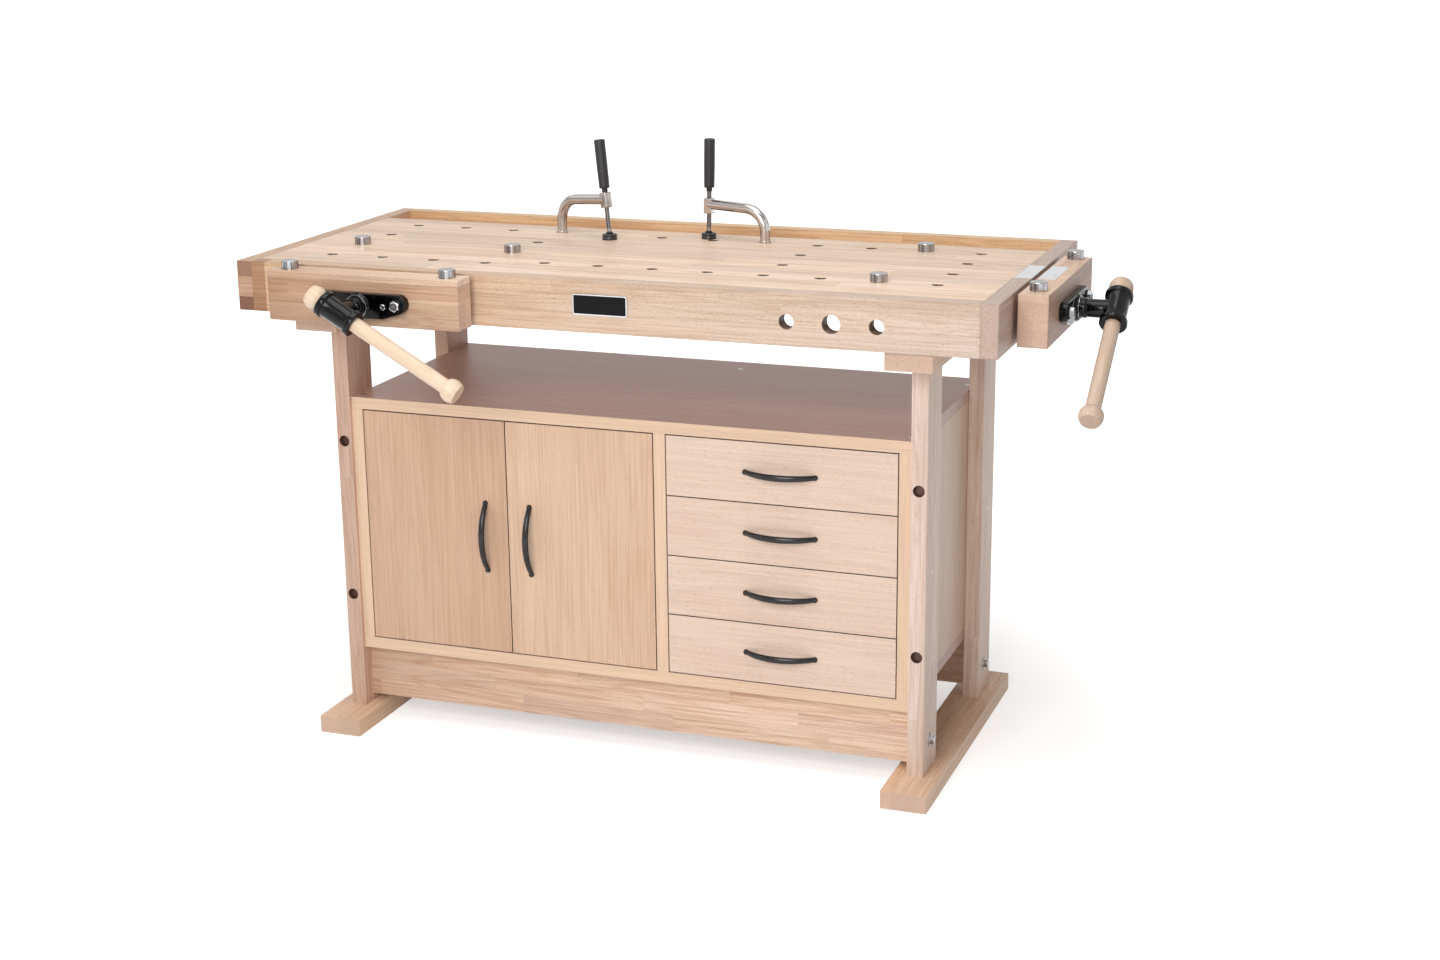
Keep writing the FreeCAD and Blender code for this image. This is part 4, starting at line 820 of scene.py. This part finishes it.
def vise_handle(kind, handle):
    """Rod with two turned knobs."""
    rod = [(0, ROD_LOW), (ROD_R, ROD_LOW), (ROD_R, ROD_HIGH), (0, ROD_HIGH)]
    bm = lathe(bmesh.new(), rod, handle, 64)
    for start, sign in ((ROD_LOW, 1), (ROD_HIGH, -1)):
        lathe(bm, [(r, z * sign) for r, z in KNOB], shifted(handle, 0, 0, start), 64)
    axis = (handle.to_3x3() @ Vector((0, 0, 1))).normalized()
    side = axis.orthogonal().normalized()
    light, dark = HANDLE_TONES[kind]
    stick = wood(kind + "_handle_wood", (90, 90, 2000), axes=(axis, side, axis.cross(side)),
                 start=(-0.2, -0.2), light=light, dark=dark, spread=0.02, seed=61, end=0.9,
                 joint=0.0, rough=0.5, flecks=0.2)
    body = kind + "_vise_handle"
    piece(kind + "_vise_bar", bm, stick, body, (body,), 40)


# half the distance of a pull's feet, its height, and how far its bar runs past them
PULL_HALF, PULL_RISE, PULL_OVER = 64.0, 23.5, 1.2
PULL_FOOT = [(0, 0), (5.2, 0), (5.2, 1.4), (4.9, 2.6), (4.2, 3.8), (0, 4.6)]
# places on a door in metres: the pull from the free edge, the cups from the hinged edge and
# from the top and bottom
DOOR_PULL, CUP_IN, CUP_FROM_END = 0.043, 0.022, 0.070
CUP = [(0, -9.5), (15.2, -9.5), (15.2, 1.2), (16.0, 2.0), (17.2, 2.0), (17.5, 1.7), (17.5, -11),
       (0, -11)]
CUP_PLATE = ((-17.5, -12), (-15.5, -14), (15.5, -14), (17.5, -12), (17.5, 12), (15.5, 14),
             (-15.5, 14), (-17.5, 12))
CUP_PLATE_THICK = 1.6


def pull(name, centre, along, body, node, mats):
    """Bow pull: an oval bar, fullest at its middle, on two small feet."""
    bm = bmesh.new()
    stations, n = 40, 20
    radius = (PULL_HALF ** 2 + PULL_RISE ** 2) / (2 * PULL_RISE)
    limit = math.asin((PULL_HALF + PULL_OVER) / radius)
    m = frame_at(centre, (0, -1, 0), along)
    turns = [2 * math.pi * j / n for j in range(n)]
    rings = []
    for k in range(stations + 1):
        t = -limit + 2 * limit * k / stations
        full = math.cos(t / limit * math.pi / 2)
        mid = Vector((radius * math.sin(t), 0, radius * math.cos(t) - radius + PULL_RISE))
        out = Vector((math.sin(t), 0, math.cos(t)))
        wide, thick = 4.3 + 1.6 * full, 3.9 + 0.5 * full
        oval = [mid + Vector((0, wide * math.cos(q), 0)) + out * (thick * math.sin(q))
                for q in turns]
        rings.append([bm.verts.new(m @ (v * MM)) for v in oval])
    for a, b in zip(rings, rings[1:]):
        ring_faces(bm, a, b)
    bm.faces.new(rings[0])
    bm.faces.new(list(reversed(rings[-1])))
    for s in (-1, 1):
        lathe(bm, PULL_FOOT, shifted(m, s * PULL_HALF, 0, 0), 28)
    piece(name, bm, mats["bronze"], body, (node,))


def hinge_cups(side, lo, hi, mats):
    """Two hinge cups with their plates, let into a door's back."""
    bm = bmesh.new()
    edge = lo.x + CUP_IN if side == "left" else hi.x - CUP_IN
    for z in (lo.z + CUP_FROM_END, hi.z - CUP_FROM_END):
        c = frame_at(Vector((edge, hi.y, z)), (0, 1, 0), (1, 0, 0))
        lathe(bm, CUP, c, 40)
        high = [bm.verts.new(c @ (Vector((x, y, CUP_PLATE_THICK)) * MM)) for x, y in CUP_PLATE]
        low = [bm.verts.new(v.co - Vector((0, CUP_PLATE_THICK * MM, 0))) for v in high]
        bm.faces.new(high)
        bm.faces.new(list(reversed(low)))
        ring_faces(bm, high, low)
    piece(side + "_door_cups", bm, mats["zinc"], side + "_door")


def pulls(mats):
    """The drawers' and doors' pulls, and the hinge cups of the doors."""
    for i in DRAWERS:
        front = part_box(f"drawer_{i}")[0].y
        lo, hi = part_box(f"drawer_{i}_pull")
        centre = Vector(((lo.x + hi.x) / 2, front, (lo.z + hi.z) / 2))
        pull(f"drawer_{i}_bow", centre, (1, 0, 0), f"drawer_{i}", f"drawer_{i}_pull", mats)
    for side in ("left", "right"):
        lo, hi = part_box(side + "_door")
        x = hi.x - DOOR_PULL if side == "left" else lo.x + DOOR_PULL
        centre = Vector((x, lo.y, (lo.z + hi.z) / 2))
        pull(side + "_door_bow", centre, (0, 0, 1), side + "_door", side + "_door_fittings", mats)
        hinge_cups(side, lo, hi, mats)


# a holdfast: the column of its dog hole, its turn, its reach, and the lean of its screw
HOLDFASTS = {"left": (3, -22, 127, 7), "right": (7, 172, 118.5, 1.2)}
FIRST_HOLE, HOLE_STEP, HOLDFAST_ROW = 135, 102.6, 449
# the middle of the clamp screw's ball, above the top
BALL_UP = 9
CLAMP_STEM = [(0, 0), (4.0, 0), (4.2, 12.6), (0, 12.6)]
CLAMP_COLLAR = [(0, 80), (4.6, 80), (4.8, 80.4), (4.8, 87), (0, 87)]
CLAMP_BALL = [(0, -7.5)] + arc(0, 0, 7.5, -80, 70, 14) + [(3.4, 8.6), (0, 8.8)]
GRIP_FROM = 80.5
GRIP_STEPS = 22
GRIP = ([(0, 0), (5.2, 0), (5.5, 0.6), (5.5, 6.3), (6.4, 7.0), (9.3, 7.1), (9.8, 7.8), (9.8, 12)]
        + [(9.8 + 0.2 * math.sin(math.pi * k / GRIP_STEPS) + 0.4 * k / GRIP_STEPS,
            12 + 78 * k / GRIP_STEPS) for k in range(1, GRIP_STEPS)]
        + arc(7.8, 95.3, 2.5, 0, 80, 5) + [(4.6, 98.0), (3.0, 97.4), (0, 97.2)])
CLAMP_PAD = ([(0, 0), (13.2, 0), (14, 0.7), (14, 5.4), (13.5, 6.2), (13.5, 7.0), (13.9, 7.6)]
             + arc(12.1, 9.2, 1.8, 0, 90, 5)
             + [(8.6, 11), (7.7, 10.6), (7.62, 9), (6.2, 4.5), (0, 1.4)])


def clamps(mats):
    """Clamp screws, balls, grips and pads of the holdfasts."""
    for side, (column, turn, reach, lean) in HOLDFASTS.items():
        hole = at(FIRST_HOLE + column * HOLE_STEP, HOLDFAST_ROW, TOP)
        m = Matrix.Translation(hole) @ Matrix.Rotation(math.radians(turn), 4, "Z")
        s = shifted(m, reach, 0, BALL_UP) @ Matrix.Rotation(-math.radians(lean), 4, "Y")
        screw, grip, pad = (f"{side}_clamp_{part}" for part in ("screw", "grip", "pad"))
        bm = bmesh.new()
        thread(bm, *CLAMP_THREAD, shifted(s, 0, 0, CLAMP_THREAD_FROM))
        lathe(bm, CLAMP_STEM, s, 32)
        lathe(bm, CLAMP_COLLAR, s, 32)
        piece(side + "_clamp_rod", bm, mats["clamp_rod"], screw, (screw,), 50)
        bm = lathe(bmesh.new(), CLAMP_BALL, s, 40)
        piece(side + "_clamp_ball", bm, mats["enamel"], screw)
        bm = lathe(bmesh.new(), GRIP, shifted(s, 0, 0, GRIP_FROM), 48)
        piece(side + "_clamp_handle", bm, mats["grip"], screw, (grip,), 50)
        bm = lathe(bmesh.new(), CLAMP_PAD, shifted(m, reach, 0, 0), 48)
        piece(side + "_clamp_foot", bm, mats["pad"], pad, (pad,), 40)


BOLT_HEAD, BOLT_WASHER = (8.5, 7), 2
BARREL_NUT = [(0, 0), (6.6, 0), (7, 0.4), (7, 21.6), (6.6, 22), (3, 22), (2.6, 19.8), (0, 19.8)]
CABINET_SCREW = [(0, -50), (3, -48), (3, -0.2), (2.6, 0), (0, -0.9)]
# heights of the frame's bolts and screws, and where the bolts up into apron and rim stand
STRETCHER_BOLT, FOOT_BOLT, BEARER_BOLT, RAIL_BOLT, CABINET_BOLT = 87, 10, 800, 788, 400
RAIL_BOLT_Y = (20, 620)


def bolts(mats):
    """Bolts, washers, barrel nuts and screws of the frame."""
    bm = bmesh.new()

    def bolt(start, way, length, flange=12):
        m = frame_at(start, -Vector(way), Vector(way).orthogonal())
        lathe(bm, [(0, -length), (4.2, -length), (5, 0.8 - length), (5, 0), (flange - 0.4, 0),
                   (flange, 0.3), (flange, 1.7), (flange - 0.4, 2), (0, 2)], m, 40)
        hexagon(bm, *BOLT_HEAD, shifted(m, 0, 0, BOLT_WASHER))

    for x, way in LEG_OUTER:
        for y in LEG_MIDDLES:
            bolt(at(x, y, STRETCHER_BOLT), (way, 0, 0), 70)
            nut = frame_at(at(x + way * 70, y - 7, STRETCHER_BOLT), (0, 1, 0), (1, 0, 0))
            lathe(bm, BARREL_NUT, nut, 32)
    for x in LEG_X:
        for y in LEG_MIDDLES:
            bolt(at(x, y, FOOT_BOLT), (0, 0, 1), 70)
            bolt(at(x, y, BEARER_BOLT), (0, 0, -1), 70)
        for y in RAIL_BOLT_Y:
            bolt(at(x, y, RAIL_BOLT), (0, 0, 1), 52, 9.5)
    for x, way in LEG_OUTER:
        for y in LEG_MIDDLES:
            m = frame_at(at(x, y, CABINET_BOLT), (-way, 0, 0), (0, 1, 0))
            lathe(bm, CABINET_SCREW, m, 24)
    piece("frame_hardware", bm, mats["zinc"], "bench", ("frame_bolts",), 35)


PLATE_CORNER = 4.0
PLATE_STEPS = 8
# how far the border's rows lie inside the plate's outline and out from its face
BORDER = ((0.0, 0.0), (0.0, 0.5), (0.35, 0.75), (1.7, 0.75), (2.0, 0.45), (2.0, 0.0))


def nameplate(mats):
    """Silver border round the bare plate."""
    lo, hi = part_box("nameplate")
    corners = ((hi.x, hi.z, 1, 1, 0), (lo.x, hi.z, -1, 1, 90), (lo.x, lo.z, -1, -1, 180),
               (hi.x, lo.z, 1, -1, 270))
    bm = bmesh.new()
    rings = []
    for inset, out in BORDER:
        r = (PLATE_CORNER - inset) * MM
        ring = []
        for x, z, sx, sz, first in corners:
            for k in range(PLATE_STEPS + 1):
                a = math.radians(first + 90 * k / PLATE_STEPS)
                ring.append(bm.verts.new((x - sx * PLATE_CORNER * MM + r * math.cos(a),
                                          lo.y - out * MM,
                                          z - sz * PLATE_CORNER * MM + r * math.sin(a))))
        rings.append(ring)
    for a, b in zip(rings, rings[1:] + rings[:1]):
        ring_faces(bm, a, b)
    piece("nameplate_border", bm, mats["steel"], "bench")


# how fine the scratches are on X, Y and Z: long on X and Y, or nearly alike all over
BRUSHED, PLATED, DRAWN = (60, 60, 2600), (900, 900, 900), (500, 500, 700)


def dress_hardware():
    """Metal, paint and plastic: the CAD nodes first, then the finer pieces."""
    # the metals' banded darkening by the way they face is painted reflection
    mats = {
        "enamel": enamel(),
        "zinc": metal("zinc_plate", srgb(204, 204, 208), 0.26, 0.12, PLATED, 0.35, painted_reflection=0.45),
        "steel": metal("brushed_steel", srgb(214, 214, 216), 0.34, 0.16, BRUSHED, 0.2),
        "dog_steel": metal("turned_steel", srgb(186, 184, 186), 0.22, 0.1, BRUSHED, 0.3,
                           painted_reflection=0.6),
        "chrome": metal("polished_tube", srgb(214, 206, 202), 0.1, 0.05, DRAWN, 0.3, painted_reflection=0.6,
                        bands=3.5),
        "rod_steel": metal("rod_steel", srgb(120, 118, 118), 0.34, 0.12, PLATED, 0.4),
        "screw": metal("screw_plate", srgb(226, 226, 228), 0.2, 0.1, PLATED, 0.2, painted_reflection=0.2),
        "clamp_rod": metal("clamp_thread", srgb(178, 174, 174), 0.24, 0.1, PLATED, 0.35,
                           painted_reflection=0.45),
        "bronze": paint("dark_bronze", srgb(20, 15, 15), srgb(44, 35, 34), 0.22, 500, 0.1,
                        metallic=0.25, coat=0.1),
        "grip": paint("grip_plastic", srgb(30, 27, 30), srgb(56, 54, 56), 0.5, 1500, 0.35),
        "pad": paint("pad_plastic", srgb(26, 26, 29), srgb(52, 52, 56), 0.34, 900, 0.2),
        "plate": paint("plate_enamel", srgb(12, 12, 14), srgb(26, 26, 30), 0.34, 900, 0.1,
                       shine=0.12),
    }
    dogs = " ".join(f"bench_dog_{i}" for i in DOGS)
    drawer_pulls = " ".join(f"drawer_{i}_pull" for i in DRAWERS)
    for material, names in (
        ("enamel", "vise_nuts front_vise_plate end_vise_plate front_vise_screw end_vise_screw"),
        ("enamel", "left_clamp_pad right_clamp_pad"),
        ("steel", "bench_steel_plate jaw_steel_plate"),
        ("dog_steel", dogs),
        ("zinc", "frame_bolts cabinet_fittings front_vise_guides end_vise_guides"),
        ("zinc", "left_clamp_screw right_clamp_screw"),
        ("chrome", "left_holdfast_arm right_holdfast_arm"),
        ("grip", "left_clamp_grip right_clamp_grip"),
        ("bronze", "left_door_fittings right_door_fittings " + drawer_pulls),
        ("plate", "nameplate"),
        ("pad", "front_vise_handle end_vise_handle"),
    ):
        dress(names, mats[material])
    vises(mats)
    pulls(mats)
    clamps(mats)
    bolts(mats)
    nameplate(mats)


camera()
studio_floor()
studio_world()
lamps()
dress_wood()
dress_boards()
dress_hardware()
